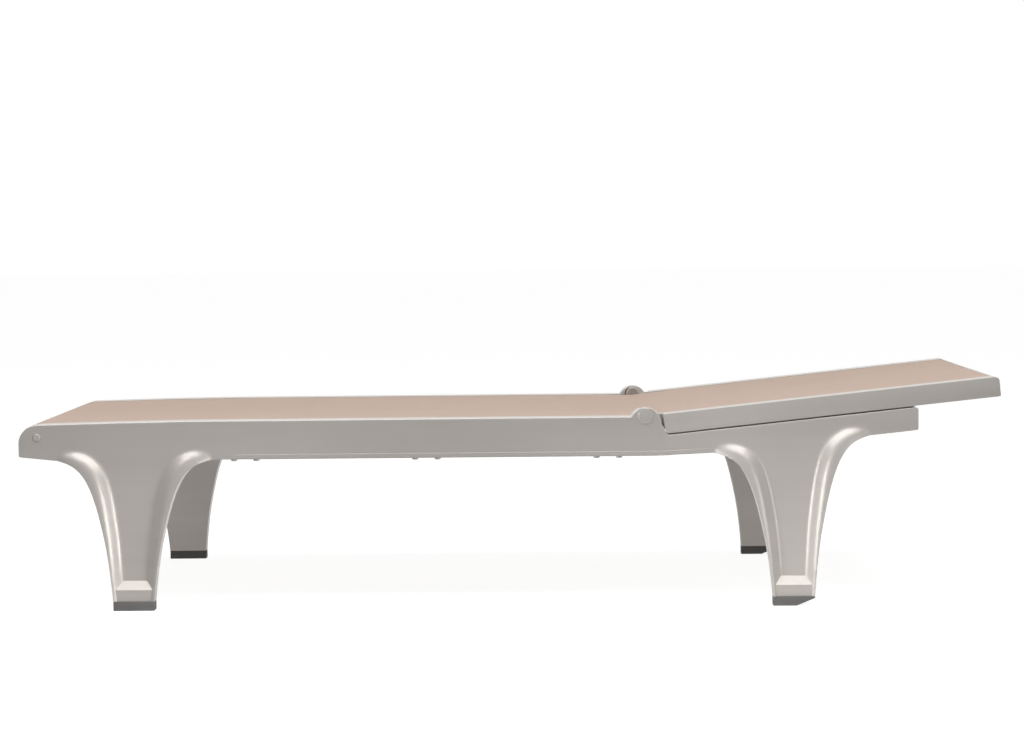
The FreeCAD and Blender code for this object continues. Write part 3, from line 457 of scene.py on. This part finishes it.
def moulded(node, body, finishes, width, cutters=()):
    """A carved and rounded copy of a node, riding on its body and standing for it."""
    piece = welded_copy(node, node + "_moulded")
    if cutters:
        carve(piece, cutters)
    dress(piece, *finishes)
    soften(piece, width)
    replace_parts(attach(piece, body), node)


print("carving helpers ready")

# %% [markdown]
# ## Flared legs
# A leg's web lies back, and its two rims stand out from it like rounded beads that run up the leg, turn
# along the rail and sink into the rail's face. The highlight follows these beads, so they have to be
# smooth. The leg's outer face is therefore dissolved into one, cut into a fine grid with Bisect, and each
# point of the grid is set to the leg's own form: how far it is from the nearest rim says how far it
# stands out. The lowest part of the leg, with its block over the foot, keeps its CAD shape.

# %% Leg form
HINGE = Vector((0.267, 0.0, 0.366))
BACK_SLOPE = math.radians(5.9)
RAIL_OUT, SPLAY, WEB_LEAN, LEG_FLARE = 0.300, 0.040, 0.026, 0.111
FOOT_TOP, RAIL_BOTTOM, ARM_UNDER = 0.018, 0.289, 0.0855
LEG_HEIGHTS = (0, 0.15, 0.28, 0.42, 0.54, 0.66, 0.77, 0.86, 0.92, 0.96, 0.985, 1)
LEG_FLARES = (0, 0.035, 0.075, 0.135, 0.2, 0.275, 0.365, 0.47, 0.58, 0.705, 0.85, 1)
SOLID_RIM = (1, 0.95, 0.9, 0.83, 0.77, 0.69, 0.6, 0.51, 0.41, 0.29, 0.15, 0)
BEAD_RIM = (1, 0.95, 0.9, 0.83, 0.77, 0.70, 0.63, 0.56, 0.48, 0.36, 0.19, 0)
BEAD_WIDTH = (0.0200, 0.0229, 0.0254, 0.0285, 0.0315, 0.0345,
              0.0375, 0.0400, 0.0390, 0.0345, 0.0270, 0.0180)
BEAD_SKEW = (1.0, 1.0, 1.05, 1.2, 1.3, 1.45, 1.65, 1.8, 1.8, 1.7, 1.5, 1.3)
LEAN_SOFT, LEAN_FADE = 0.08, 0.05
LINE_STEPS = 16
Rim = namedtuple("Rim", "reach width skew change")
Leg = namedtuple("Leg", "rims under left right")


def smooth_step(value):
    """0 below 0, 1 above 1, and a smooth rise between."""
    value = min(max(value, 0.0), 1.0)
    return value * value * (3 - 2 * value)


def through(values, place):
    """A smooth curve through evenly numbered values."""
    index = min(int(place), len(values) - 2)
    part = place - index
    start, end = values[index], values[index + 1]
    before = values[index - 1] if index else 2 * start - end
    after = values[index + 2] if index + 2 < len(values) else 2 * end - start
    bend = 2 * before - 5 * start + 4 * end - after + part * (3 * (start - end) + after - before)
    return start + 0.5 * part * (end - before + part * bend)


def rim_line(foot_x, beam_x, beam_z):
    """A search tree of the points along a rim, with what the rim is like at each of them."""
    count = (len(LEG_HEIGHTS) - 1) * LINE_STEPS
    tree = KDTree(count + 1)
    facts = []
    for index in range(count + 1):
        place = index / LINE_STEPS
        x = foot_x + (beam_x - foot_x) * through(LEG_FLARES, place)
        z = FOOT_TOP + (beam_z - FOOT_TOP) * through(LEG_HEIGHTS, place)
        tree.insert((x, 0, z), index)
        bead = SPLAY * through(BEAD_RIM, place)
        change = bead - SPLAY * through(SOLID_RIM, place)
        facts.append(Rim(RAIL_OUT + bead, through(BEAD_WIDTH, place), through(BEAD_SKEW, place), change))
    tree.balance()
    return tree, facts


def arm_under(x):
    """Height of the rear arm's lower edge."""
    return HINGE.z + (x - HINGE.x) * math.tan(BACK_SLOPE) - ARM_UNDER / math.cos(BACK_SLOPE)


def leg_form(foot_node, under):
    """The two rims of the leg over this foot, and where it meets the beam above."""
    low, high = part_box(foot_node)
    left, right = low.x - LEG_FLARE, high.x + LEG_FLARE
    rims = [rim_line(low.x, left, under(left)), rim_line(high.x, right, under(right))]
    return Leg(rims, under, left, right)


def nearest_rims(x, z, leg):
    """For each rim, the distance to it and what it is like at the nearest place."""
    found = [(tree.find((x, 0, z)), facts) for tree, facts in leg.rims]
    return [(distance, facts[index]) for (place, index, distance), facts in found]


def leg_face(x, z, leg):
    """How far out the leg's face is at this place."""
    below = (leg.under(x) - z) / (leg.under(x) - FOOT_TOP)
    soft = LEAN_SOFT * smooth_step((x - leg.left) / LEAN_FADE) * smooth_step((leg.right - x) / LEAN_FADE)
    face = RAIL_OUT + WEB_LEAN * (below + math.hypot(below, soft)) / 2
    reach = face
    for distance, rim in nearest_rims(x, z, leg):
        if distance < rim.width and rim.reach > face:
            bead = (1 + math.cos(math.pi * (distance / rim.width) ** rim.skew)) / 2
            reach += (rim.reach - face) * bead
    return reach


legs = [leg_form("front_foot_left", lambda x: RAIL_BOTTOM), leg_form("rear_foot_left", arm_under)]
print("legs from", [round(leg.left, 3) for leg in legs], "to", [round(leg.right, 3) for leg in legs])

# %% [markdown]
# The outer skin of a leg is every face that looks outward between two limits along the rail. Its border
# stays where it is, apart from the rims' own change, so the skin still meets its neighbours.

# %% Redrawing a leg's outer face
SKIN_LOW, SKIN_HEIGHT, SKIN_SPARE, SKIN_FACING = 0.066, 0.30, 0.012, -0.2
SKIN_INSET, RIM_NEAR, GRID = 0.00002, 0.0048, 0.0034


def is_skin(polygon, low_x, high_x):
    """Whether a face is on the outside of a left leg."""
    middle = polygon.center
    outside = polygon.normal.y < SKIN_FACING and middle.y < SKIN_INSET - RAIL_OUT
    return outside and middle.z > SKIN_LOW and low_x < middle.x < high_x


def pick_skin(piece, low_x, high_x):
    """Select the skin between two limits, and stay in edit mode."""
    bpy.ops.object.mode_set(mode="OBJECT")
    for polygon in piece.data.polygons:
        polygon.select = is_skin(polygon, low_x, high_x)
    bpy.ops.object.mode_set(mode="EDIT")


def grid_skin(piece, low_x, high_x):
    """Make the leg's outer face one face, cut it into a grid and leave it selected."""
    select_only(piece)
    bpy.ops.object.mode_set(mode="EDIT")
    bpy.ops.mesh.select_mode(type="FACE")
    limits = [((x, 0, 0), (1, 0, 0)) for x in (low_x, high_x)] + [((0, 0, SKIN_LOW), (0, 0, 1))]
    for place, across in limits:
        pick_skin(piece, low_x - 1, high_x + 1)
        bpy.ops.mesh.bisect(plane_co=place, plane_no=across)
    pick_skin(piece, low_x, high_x)
    bpy.ops.mesh.dissolve_faces()
    bpy.ops.mesh.hide(unselected=True)
    cuts = [((low_x + GRID * step, 0, 0), (1, 0, 0)) for step in range(1, int((high_x - low_x) / GRID))]
    cuts += [((0, 0, SKIN_LOW + GRID * step), (0, 0, 1)) for step in range(1, int(SKIN_HEIGHT / GRID))]
    for place, across in cuts:
        bpy.ops.mesh.select_all(action="SELECT")
        bpy.ops.mesh.bisect(plane_co=place, plane_no=across)
    bpy.ops.mesh.select_all(action="SELECT")
    bpy.ops.mesh.reveal(select=False)
    bpy.ops.object.mode_set(mode="OBJECT")


def redraw_leg(piece, leg):
    """Set the grid to the leg's form. Its border only follows the change of the rims."""
    grid_skin(piece, leg.left - SKIN_SPARE, leg.right + SKIN_SPARE)
    skin = [polygon for polygon in piece.data.polygons if polygon.select]
    uses = Counter(key for polygon in skin for key in polygon.edge_keys)
    border = {index for key, count in uses.items() if count == 1 for index in key}
    points = {index for polygon in skin for index in polygon.vertices}
    for index in points - border:
        point = piece.data.vertices[index].co
        point.y = -leg_face(point.x, point.z, leg)
    for index in border:
        point = piece.data.vertices[index].co
        distance, rim = min(nearest_rims(point.x, point.z, leg))
        if distance < RIM_NEAR and point.z > SKIN_LOW + GRID:
            point.y -= rim.change
    return len(points)


print("grid", GRID)

# %% [markdown]
# The rail's own outer edges are rounded before the legs are redrawn, while they are still long and clean.
# Edges that end at a leg are left to the leg, and the rims of the bores stay sharp behind their caps.

# %% Rounding the rail
EDGE_ROUND, EDGE_ROWS, FACE_NEAR = 0.0016, 3, 0.0001
LEG_MARGIN, LEG_ABOVE = 1.1 * SKIN_SPARE, 0.030
COVERS = ("nose_plugs", "pivot_cap_left")


def beside_leg(point):
    """Whether a point is low enough, and near enough to a leg, to belong to it."""
    return any(leg.left - LEG_MARGIN < point.x < leg.right + LEG_MARGIN
               and point.z < leg.under(point.x) + LEG_ABOVE for leg in legs)


def behind(point, node):
    """Whether a point of a left rail lies behind this node, seen from the side."""
    low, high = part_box(node)
    return low.x < point.x < high.x and low.z < point.z < high.z


def can_round(point):
    """Whether a point is on the outer face of a left rail, away from its legs and its caps."""
    on_face = abs(point.y + RAIL_OUT) < FACE_NEAR
    return on_face and not beside_leg(point) and not any(behind(point, node) for node in COVERS)


def round_rail_edges(piece):
    """Round the outer edges of a left rail away from its legs. The new faces take the last material."""
    mesh = piece.data
    turns = {}
    for polygon in mesh.polygons:
        for key in polygon.edge_keys:
            turns.setdefault(key, []).append(polygon.normal)
    select_only(piece)
    bpy.ops.object.mode_set(mode="EDIT")
    bpy.ops.mesh.select_mode(type="EDGE")
    bpy.ops.mesh.select_all(action="DESELECT")
    bpy.ops.object.mode_set(mode="OBJECT")
    for edge in mesh.edges:
        ends = [mesh.vertices[index].co for index in edge.vertices]
        normals = turns[edge.key]
        outer = all(can_round(end) for end in ends)
        edge.select = outer and len(normals) == 2 and normals[0].angle(normals[1]) > SHARP_ANGLE
    count = sum(edge.select for edge in mesh.edges)
    bpy.ops.object.mode_set(mode="EDIT")
    bpy.ops.mesh.bevel(offset=EDGE_ROUND, segments=EDGE_ROWS, clamp_overlap=False,
                       material=len(mesh.materials) - 1)
    bpy.ops.object.mode_set(mode="OBJECT")
    return count


print("edges rounded by", EDGE_ROUND)

# %% [markdown]
# The backrest's rail ends in a notch of the side frame. Its corner is filled a little, so that only a
# narrow gap is left round the rail's rounded end. The right frame is the left one, mirrored.

# %% Side frames
NOTCH_MIDDLE, NOTCH_RADIUS, NOTCH_NEAR = Vector((0.3123, 0, 0.3438)), 0.0143, 0.001
CORNER_MIDDLE, CORNER_RADIUS, CORNER_GAP = Vector((0.3146, 0, 0.3428)), 0.010, 0.0012
FILL_FROM, FILL_FADE = -0.1, 4


def fill_notch(piece):
    """Move the notch's round corner in, all of it at the upright side and nothing at the level side."""
    for vertex in piece.data.vertices:
        spoke = Vector((vertex.co.x, 0, vertex.co.z)) - NOTCH_MIDDLE
        share = math.atan2(-spoke.z, -spoke.x) / (math.pi / 2)
        if abs(spoke.length - NOTCH_RADIUS) < NOTCH_NEAR and FILL_FROM < share < 1:
            filled = CORNER_MIDDLE + spoke.normalized() * (CORNER_RADIUS + CORNER_GAP)
            filled.y = vertex.co.y
            vertex.co = vertex.co.lerp(filled, 1 - max(share, 0) ** FILL_FADE)


# The second resin goes on the faces of rounded edges and paints a highlight along them.
resins = (resin, edge_highlight)
left_frame = welded_copy("side_frame_left", "side_frame_left_moulded")
fill_notch(left_frame)
dress(left_frame, *resins)
print("rounded edges", round_rail_edges(left_frame))
print("leg points", [redraw_leg(left_frame, leg) for leg in legs])
bpy.ops.object.shade_smooth_by_angle(angle=SHARP_ANGLE)
right_frame = left_frame.copy()
right_frame.name = "side_frame_right_moulded"
right_frame.data = left_frame.data.copy()
bpy.context.scene.collection.objects.link(right_frame)
right_frame.data.transform(Matrix.Scale(-1, 4, (0, 1, 0)))
right_frame.data.flip_normals()
for piece, node in ((left_frame, "side_frame_left"), (right_frame, "side_frame_right")):
    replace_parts(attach(piece, "base"), node)
print("side frames", len(left_frame.data.polygons), "faces each")

# %% [markdown]
# ## Bars, racks and backrest
# The cross bars tie the two side frames together, and the racks on the arms hold the prop stay.

# %% Moulded pieces of the base
RACK_EDGE, BAR_EDGE = 0.0008, 0.0014
SPREADER_BARS = ("spreader_bar_front", "spreader_bar_middle", "spreader_bar_rear")
for side in ("left", "right"):
    moulded("notch_rack_" + side, "base", resins, RACK_EDGE)
for node in ("foot_end_bar", "rear_cross_bar") + SPREADER_BARS:
    moulded(node, "base", resins, BAR_EDGE)
print("base moulded")

# %% [markdown]
# The backrest is a frame of its own, and the prop stay swings under it. The head bar has a shallow seat
# in which the end of the sling lies level with the bar.

# %% Moulded pieces of the backrest
HEAD_EDGE, BACK_EDGE, STAY_EDGE = 0.0012, 0.0016, 0.0012
HEAD_SEAT_START, HEAD_SEAT_END, HEAD_SEAT_DEPTH, HEAD_SEAT_HALF = 0.660, 0.6785, 0.004, 0.263
lean = Matrix.Translation(HINGE) @ Matrix.Rotation(-BACK_SLOPE, 4, "Y") @ Matrix.Translation(-HINGE)
head_seat = block((HINGE.x + HEAD_SEAT_START, -HEAD_SEAT_HALF, HINGE.z - HEAD_SEAT_DEPTH),
                  (HINGE.x + HEAD_SEAT_END, HEAD_SEAT_HALF, HINGE.z + HEAD_SEAT_DEPTH))
head_seat.data.transform(lean)
moulded("head_bar", "back", resins, HEAD_EDGE, [head_seat])
for node in ("back_rail_left", "back_rail_right", "back_lower_bar", "back_upper_bar"):
    moulded(node, "back", resins, BACK_EDGE)
moulded("prop_stay", "stay", resins, STAY_EDGE)
print("backrest moulded")

# %% [markdown]
# ## Feet
# The rubber pads grip the ground with a tread: grooves across the sole, a few millimetres apart. They are
# only seen when the lounger is tipped up, but they are what such a pad has.

# %% Foot pads with a tread
TREAD_PITCH, TREAD_WIDTH, TREAD_DEPTH, TREAD_EDGE = 0.0085, 0.0026, 0.0014, 0.0035
PAD_EDGE = 0.0010


def tread(node):
    """Cutters for the grooves across the sole of a foot."""
    low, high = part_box(node)
    count = int((high.x - low.x - TREAD_PITCH) / TREAD_PITCH)
    first = (low.x + high.x - (count - 1) * TREAD_PITCH) / 2
    grooves = []
    for index in range(count):
        x = first + TREAD_PITCH * index
        grooves.append(block((x - TREAD_WIDTH / 2, low.y + TREAD_EDGE, low.z - CUT_SPARE),
                             (x + TREAD_WIDTH / 2, high.y - TREAD_EDGE, low.z + TREAD_DEPTH)))
    return grooves


for side in ("left", "right"):
    for foot in ("front_foot_", "rear_foot_"):
        moulded(foot + side, "base", (rubber,), PAD_EDGE, tread(foot + side))
print("feet moulded")

# %% [markdown]
# ## Caps, plugs and screws
# A cap with a fine ring moulded into its face covers each pivot pin. A plain plug with a rounded edge
# covers each bolt at the foot end.

# %% Caps and plugs
CAP_RING, CAP_RING_THICKNESS = 0.0092, 0.00035
CAP_EDGE, PLUG_EDGE = 0.0005, 0.0011
for side in ("left", "right"):
    low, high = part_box("pivot_cap_" + side)
    middle = (low + high) / 2
    face = low.y if side == "left" else high.y
    rings = [ring((middle.x, face, middle.z), CAP_RING, CAP_RING_THICKNESS)]
    moulded("pivot_cap_" + side, "base", (cap_resin,), CAP_EDGE, rings)
moulded("nose_plugs", "base", (cap_resin,), PLUG_EDGE)
print("caps carved, plugs rounded")

# %% [markdown]
# The screws under the rails are pan heads with a cross, two at each end of a spreader bar. Each head is
# carved with two crossed slots.

# %% Screws
SLOT_REACH, SLOT_HALF, SLOT_DEPTH = 0.0034, 0.0006, 0.0022
SCREW_ALONG, SCREW_ACROSS, SCREW_EDGE = 0.022, 0.278, 0.0003
low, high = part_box("spreader_screws")
crosses = []
for bar in SPREADER_BARS:
    bar_low, bar_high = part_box(bar)
    bar_x = (bar_low.x + bar_high.x) / 2
    for x in (bar_x - SCREW_ALONG, bar_x + SCREW_ALONG):
        for y in (-SCREW_ACROSS, SCREW_ACROSS):
            for long_way, short_way in ((SLOT_REACH, SLOT_HALF), (SLOT_HALF, SLOT_REACH)):
                crosses.append(block((x - long_way, y - short_way, low.z - CUT_SPARE),
                                     (x + long_way, y + short_way, low.z + SLOT_DEPTH)))
moulded("spreader_screws", "base", (steel,), SCREW_EDGE, crosses)
print("screws carved", len(crosses) // 2)

# %% [markdown]
# Pins, axles, washers, bolts, welts and wheels are small and mostly hidden. They keep their CAD shape and
# only get a finish.

# %% Finishes of the pieces that keep their CAD shape
for side in ("left", "right"):
    dress(nodes["wheel_" + side], tyre)
    for node in ("wheel_axle_", "pivot_pin_", "pivot_washer_", "prop_pin_"):
        dress(nodes[node + side], steel)
    for node in ("seat_welt_", "back_welt_"):
        dress(nodes[node + side], liner)
dress(nodes["nose_bolts"], steel)
print("CAD nodes dressed")

# %% [markdown]
# ## Lip under the rails
# Along the lower edge of each side rail runs a low lip that stiffens the moulding. It is a box stretched
# along the rail and bisected where the rail's edge starts to rise, so that its end can follow that edge.
# Its two ends are drawn in to nothing, and its edges are rounded.

# %% Rail lips
LIP_START, LIP_BEND, LIP_END, LIP_FADE = -0.560, 0.299, 0.400, 0.060
LIP_LOW, LIP_HIGH, LIP_PROUD, LIP_ROOT, LIP_SLOPE = 0.2905, 0.2985, 0.0009, 0.002, 0.047
LIP_ROUND, LIP_ROWS = LIP_PROUD * 0.8, 3
LIP_SUNK = LIP_ROOT * 0.9 / (LIP_ROOT + LIP_PROUD)


def rail_lip(side, hand):
    """The lip of one side: hand is -1 on the left and 1 on the right."""
    root, face = hand * (RAIL_OUT - LIP_ROOT), hand * (RAIL_OUT + LIP_PROUD)
    lip = block((LIP_START, min(root, face), LIP_LOW), (LIP_END, max(root, face), LIP_HIGH))
    lip.name = "rail_lip_" + side
    select_only(lip)
    bpy.ops.object.mode_set(mode="EDIT")
    for x in (LIP_START + LIP_FADE, LIP_BEND, LIP_END - LIP_FADE):
        bpy.ops.mesh.select_all(action="SELECT")
        bpy.ops.mesh.bisect(plane_co=(x, 0, 0), plane_no=(1, 0, 0))
    bpy.ops.object.mode_set(mode="OBJECT")
    dress(lip, resin)
    soften(lip, LIP_ROUND, LIP_ROWS)
    for vertex in lip.data.vertices:
        point = vertex.co
        point.z += LIP_SLOPE * max(point.x - LIP_BEND, 0)
        ends = min((point.x - LIP_START) / LIP_FADE, (LIP_END - point.x) / LIP_FADE, 1)
        point.y = root + (point.y - root) * (LIP_SUNK * (1 - ends) + ends)
    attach(lip, "base")


for side, hand in (("left", -1), ("right", 1)):
    rail_lip(side, hand)
print("lips", round(LIP_END - LIP_START, 3))

# %% [markdown]
# ## The sling
# One sheet runs from the front of the foot bar, over it, along the seat, past the hinge and into the seat
# of the head bar. Its edges sit in the rails' grooves, except at the bars and beside the hinge, where it
# narrows to pass between the hubs. Its rows follow the rails' own line, which is worked out first.

# %% Sling line
SLING_DROP = 0.0019
CLOTH_THICKNESS = 0.0016
RAIL_TOP = 0.365
SEAT_LINE = RAIL_TOP - SLING_DROP
CROWN_X, CROWN_REACH, CROWN_FALL, CROWN_RUN = -0.690, 0.190, 0.0065, 0.265
CROWN_SLOPE = CROWN_FALL / CROWN_RUN
NOSE_RADIUS, WRAP_TOP, WRAP_LENGTH = 0.037, 0.3607, 0.070
HEAD_RUN, HEAD_CLEAR = 0.012, 0.0005
FOLD_HALF = 0.03
UPRIGHT_ROWS, ROUND_ROWS, LONG_ROWS, HEAD_ROWS = 4, 14, 170, 14
seat_low, seat_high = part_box("seat_sling")
back_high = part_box("back_sling")[1]


def seat_height(x):
    """Middle of the cloth over the seat: level, then falling to the foot end round a gentle bend."""
    past = CROWN_X - x
    if past < -CROWN_REACH:
        return SEAT_LINE
    if past < CROWN_REACH:
        return SEAT_LINE - CROWN_SLOPE * (past + CROWN_REACH) ** 2 / (4 * CROWN_REACH)
    return SEAT_LINE - CROWN_SLOPE * past


wrap_end = seat_low.x + WRAP_LENGTH
head_start = back_high.x - HEAD_RUN
sling_end = HINGE.x + (HEAD_SEAT_END - HEAD_CLEAR) * math.cos(BACK_SLOPE)


def cloth_height(x):
    """Middle of the cloth at the rails: over the foot bar, along the seat, up the back."""
    if x < wrap_end:
        share = (x - seat_low.x) / WRAP_LENGTH
        return (WRAP_TOP - CLOTH_THICKNESS / 2) * (1 - share) + seat_height(wrap_end) * share
    rise = (x - HINGE.x) * math.tan(BACK_SLOPE)
    back_height = HINGE.z + rise - SLING_DROP / math.cos(BACK_SLOPE)
    share = smooth_step((x - HINGE.x + FOLD_HALF) / (2 * FOLD_HALF))
    return seat_height(x) * (1 - share) + back_height * share


over_x = seat_low.x + NOSE_RADIUS
wrap_radius = NOSE_RADIUS - CLOTH_THICKNESS / 2
wrap_middle = cloth_height(over_x) - wrap_radius
stations = []
for index in range(UPRIGHT_ROWS):
    share = index / UPRIGHT_ROWS
    stations.append((over_x - wrap_radius, seat_low.z + (wrap_middle - seat_low.z) * share))
for index in range(ROUND_ROWS):
    angle = math.pi / 2 * index / ROUND_ROWS
    stations.append((over_x - wrap_radius * math.cos(angle), wrap_middle + wrap_radius * math.sin(angle)))
for start, end, count in ((over_x, head_start, LONG_ROWS), (head_start, sling_end, HEAD_ROWS)):
    for index in range(count):
        x = start + (end - start) * index / count
        stations.append((x, cloth_height(x)))
stations.append((sling_end, cloth_height(sling_end)))
runs = [0.0]
for (x, z), (next_x, next_z) in zip(stations, stations[1:]):
    runs.append(runs[-1] + math.hypot(next_x - x, next_z - z))
print("sling line", round(runs[-1], 4), "m")

# %% [markdown]
# The sheet is a grid laid along that line, with a slight sag between the rails. Its UV map is in metres.
# Solidify gives it its thickness, and across the hinge it turns from the seat's line to the back's.

# %% Sling sheet
HALF_WIDTH = seat_high.y
WRAP_HALF_WIDTH, FREE_HALF_WIDTH = 0.2617, 0.2565
NARROWING, HEAD_MARGIN = 0.009, 0.001
FREE_BEFORE, FREE_AFTER, FREE_FADE = 0.075, 0.1, 0.035
SEAT_SAG, BACK_SAG = 0.006, 0.003
SAG_START, SAG_END, SAG_CHANGE = 0.25, 0.2, 0.15
COLUMNS = 44


def cloth_half_width(x):
    """Half the width: full in the grooves, less over the bars and beside the hinge."""
    grooved = smooth_step((x - wrap_end) / NARROWING)
    grooved *= smooth_step((back_high.x - HEAD_MARGIN - x) / NARROWING)
    free = smooth_step((x - HINGE.x + FREE_BEFORE) / FREE_FADE)
    free *= smooth_step((HINGE.x + FREE_AFTER - x) / FREE_FADE)
    over_bars = (WRAP_HALF_WIDTH - HALF_WIDTH) * (1 - grooved)
    return HALF_WIDTH + over_bars + (FREE_HALF_WIDTH - HALF_WIDTH) * free


def cloth_sag(x):
    """How far the middle of a row hangs below its edges."""
    ends = smooth_step((x - wrap_end) / SAG_START) * smooth_step((back_high.x - x) / SAG_END)
    share = smooth_step((x - HINGE.x + SAG_CHANGE) / (2 * SAG_CHANGE))
    return ends * (SEAT_SAG * (1 - share) + BACK_SAG * share)


bpy.ops.object.select_all(action="DESELECT")
bpy.ops.mesh.primitive_grid_add(x_subdivisions=len(stations) - 1, y_subdivisions=COLUMNS, size=2.0)
sling = bpy.context.active_object
sling.name = "sling_sheet"
cloth_uv = sling.data.uv_layers.active
cloth_uv.name = "cloth"
rows = [round((vertex.co.x + 1) / 2 * (len(stations) - 1)) for vertex in sling.data.vertices]
for vertex, row in zip(sling.data.vertices, rows):
    x, z = stations[row]
    across = vertex.co.y
    vertex.co = (x, across * cloth_half_width(x), z - cloth_sag(x) * (1 - across ** 2))
for loop in sling.data.loops:
    point = sling.data.vertices[loop.vertex_index]
    cloth_uv.data[loop.index].uv = (point.co.y, runs[rows[loop.vertex_index]])
select_only(sling)
wall = sling.modifiers.new("cloth_thickness", "SOLIDIFY")
wall.thickness = CLOTH_THICKNESS
wall.offset = 0.0
bpy.ops.object.modifier_apply(modifier=wall.name)
bpy.ops.object.shade_smooth_by_angle(angle=SHARP_ANGLE)
dress(sling, sling_cloth)
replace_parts(sling, "seat_sling", "back_sling")
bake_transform(sling)
print("sling", round(2 * HALF_WIDTH, 3), "by", round(runs[-1], 3), "faces", len(sling.data.polygons))

# %% [markdown]
# ## Floor and light
# The lounger stands on a white sweep, as in a catalogue studio. The floor is white to the camera and still
# takes the shadow of the feet. For the light that it throws back it is a plain pale grey.

# %% Floor
FLOOR_SIZE, FLOOR_DROP = 60.0, 0.0004
FLOOR_PLAIN, FLOOR_SHADED, FLOOR_GLOW = 0.62, 0.36, 0.9
SWEEP_GAIN, FLOOR_SWEEP, SKY_SWEEP = 4.0, -0.4, 0.0


def grey(value):
    """A neutral colour."""
    return (value, value, value, 1)


def seen_as_white(finish, where, starts):
    """1 for rays from the camera or through glass, and for mirrored ones that meet the white sweep."""
    camera_ray = finish.node("ShaderNodeLightPath", out="Is Camera Ray")
    glossy_ray = finish.node("ShaderNodeLightPath", out="Is Glossy Ray")
    clear_ray = finish.node("ShaderNodeLightPath", out="Is Transmission Ray")
    depth = finish.node("ShaderNodeSeparateXYZ", {}, {"Vector": where}, out="Y")
    sweep = ((depth - starts) * SWEEP_GAIN).clamped()
    return camera_ray.at_least(clear_ray).at_least(glossy_ray * sweep)


bpy.ops.object.select_all(action="DESELECT")
bpy.ops.mesh.primitive_plane_add(size=FLOOR_SIZE, location=(0, 0, -FLOOR_DROP))
floor = settle(bpy.context.active_object)
floor.name = "studio_floor"
ground = new_finish("studio_floor")
plain = ground.node("ShaderNodeBsdfDiffuse", {}, {"Color": grey(FLOOR_PLAIN)})
shadowed = ground.node("ShaderNodeBsdfDiffuse", {}, {"Color": grey(FLOOR_SHADED)})
glow = ground.node("ShaderNodeEmission", {}, {"Color": grey(1), "Strength": FLOOR_GLOW})
white = ground.node("ShaderNodeAddShader", {}, {0: shadowed, 1: glow})
on_floor = ground.node("ShaderNodeTexCoord", out="Object")
whiteness = seen_as_white(ground, on_floor, FLOOR_SWEEP)
both = ground.node("ShaderNodeMixShader", {}, {0: whiteness, 1: plain, 2: white})
ground.node("ShaderNodeOutputMaterial", {}, {"Surface": both})
dress(floor, ground.owner)
print("floor", FLOOR_SIZE, "m")

# %% [markdown]
# One broad softbox hangs overhead, so top faces come out bright and the sides a soft grey. Three small
# ones stand low in front of the legs and shine along them, so that the beads catch the light.

# %% World and softboxes
AMBIENT, BACKDROP = 0.245, 1.0
STRIP_SPREAD = 42
world = bpy.data.worlds.new("studio")
bpy.context.scene.world = world
sky = Finish(world)
ambient = sky.node("ShaderNodeBackground", {}, {"Color": (1, 0.99, 0.98, 1), "Strength": AMBIENT})
backdrop = sky.node("ShaderNodeBackground", {}, {"Color": grey(1), "Strength": BACKDROP})
direction = sky.node("ShaderNodeTexCoord", out="Generated")
whiteness = seen_as_white(sky, direction, SKY_SWEEP)
both = sky.node("ShaderNodeMixShader", {}, {0: whiteness, 1: ambient, 2: backdrop})
sky.node("ShaderNodeOutputWorld", {}, {"Surface": both})


def softbox(name, place, aim, size, power, spread=180):
    """A rectangular lamp that the camera doesn't see."""
    lamp = bpy.data.lights.new(name, "AREA")
    lamp.shape = "RECTANGLE"
    lamp.size, lamp.size_y = size
    lamp.energy = power
    lamp.spread = math.radians(spread)
    holder = bpy.data.objects.new(name, lamp)
    holder.location = place
    holder.rotation_euler = (Vector(aim) - Vector(place)).to_track_quat("-Z", "Y").to_euler()
    holder.visible_camera = False
    bpy.context.scene.collection.objects.link(holder)


softbox("main_softbox", place=(0.0, -0.9, 2.9), aim=(0, -0.1, 0.3), size=(5.0, 1.6), power=90)
softbox("front_leg_strip", place=(0.30, -1.10, 0.30), aim=(-0.76, -0.34, 0.08), size=(0.6, 0.56),
        power=0.50, spread=STRIP_SPREAD)
softbox("rear_leg_strip", place=(-0.45, -1.10, 0.30), aim=(0.58, -0.34, 0.08), size=(0.6, 0.56),
        power=0.50, spread=STRIP_SPREAD)
softbox("rear_bead_strip", place=(1.20, -1.10, 0.26), aim=(0.54, -0.34, 0.05), size=(0.5, 0.5),
        power=0.15, spread=STRIP_SPREAD)
print("lamps", [lamp.name for lamp in bpy.data.lights])
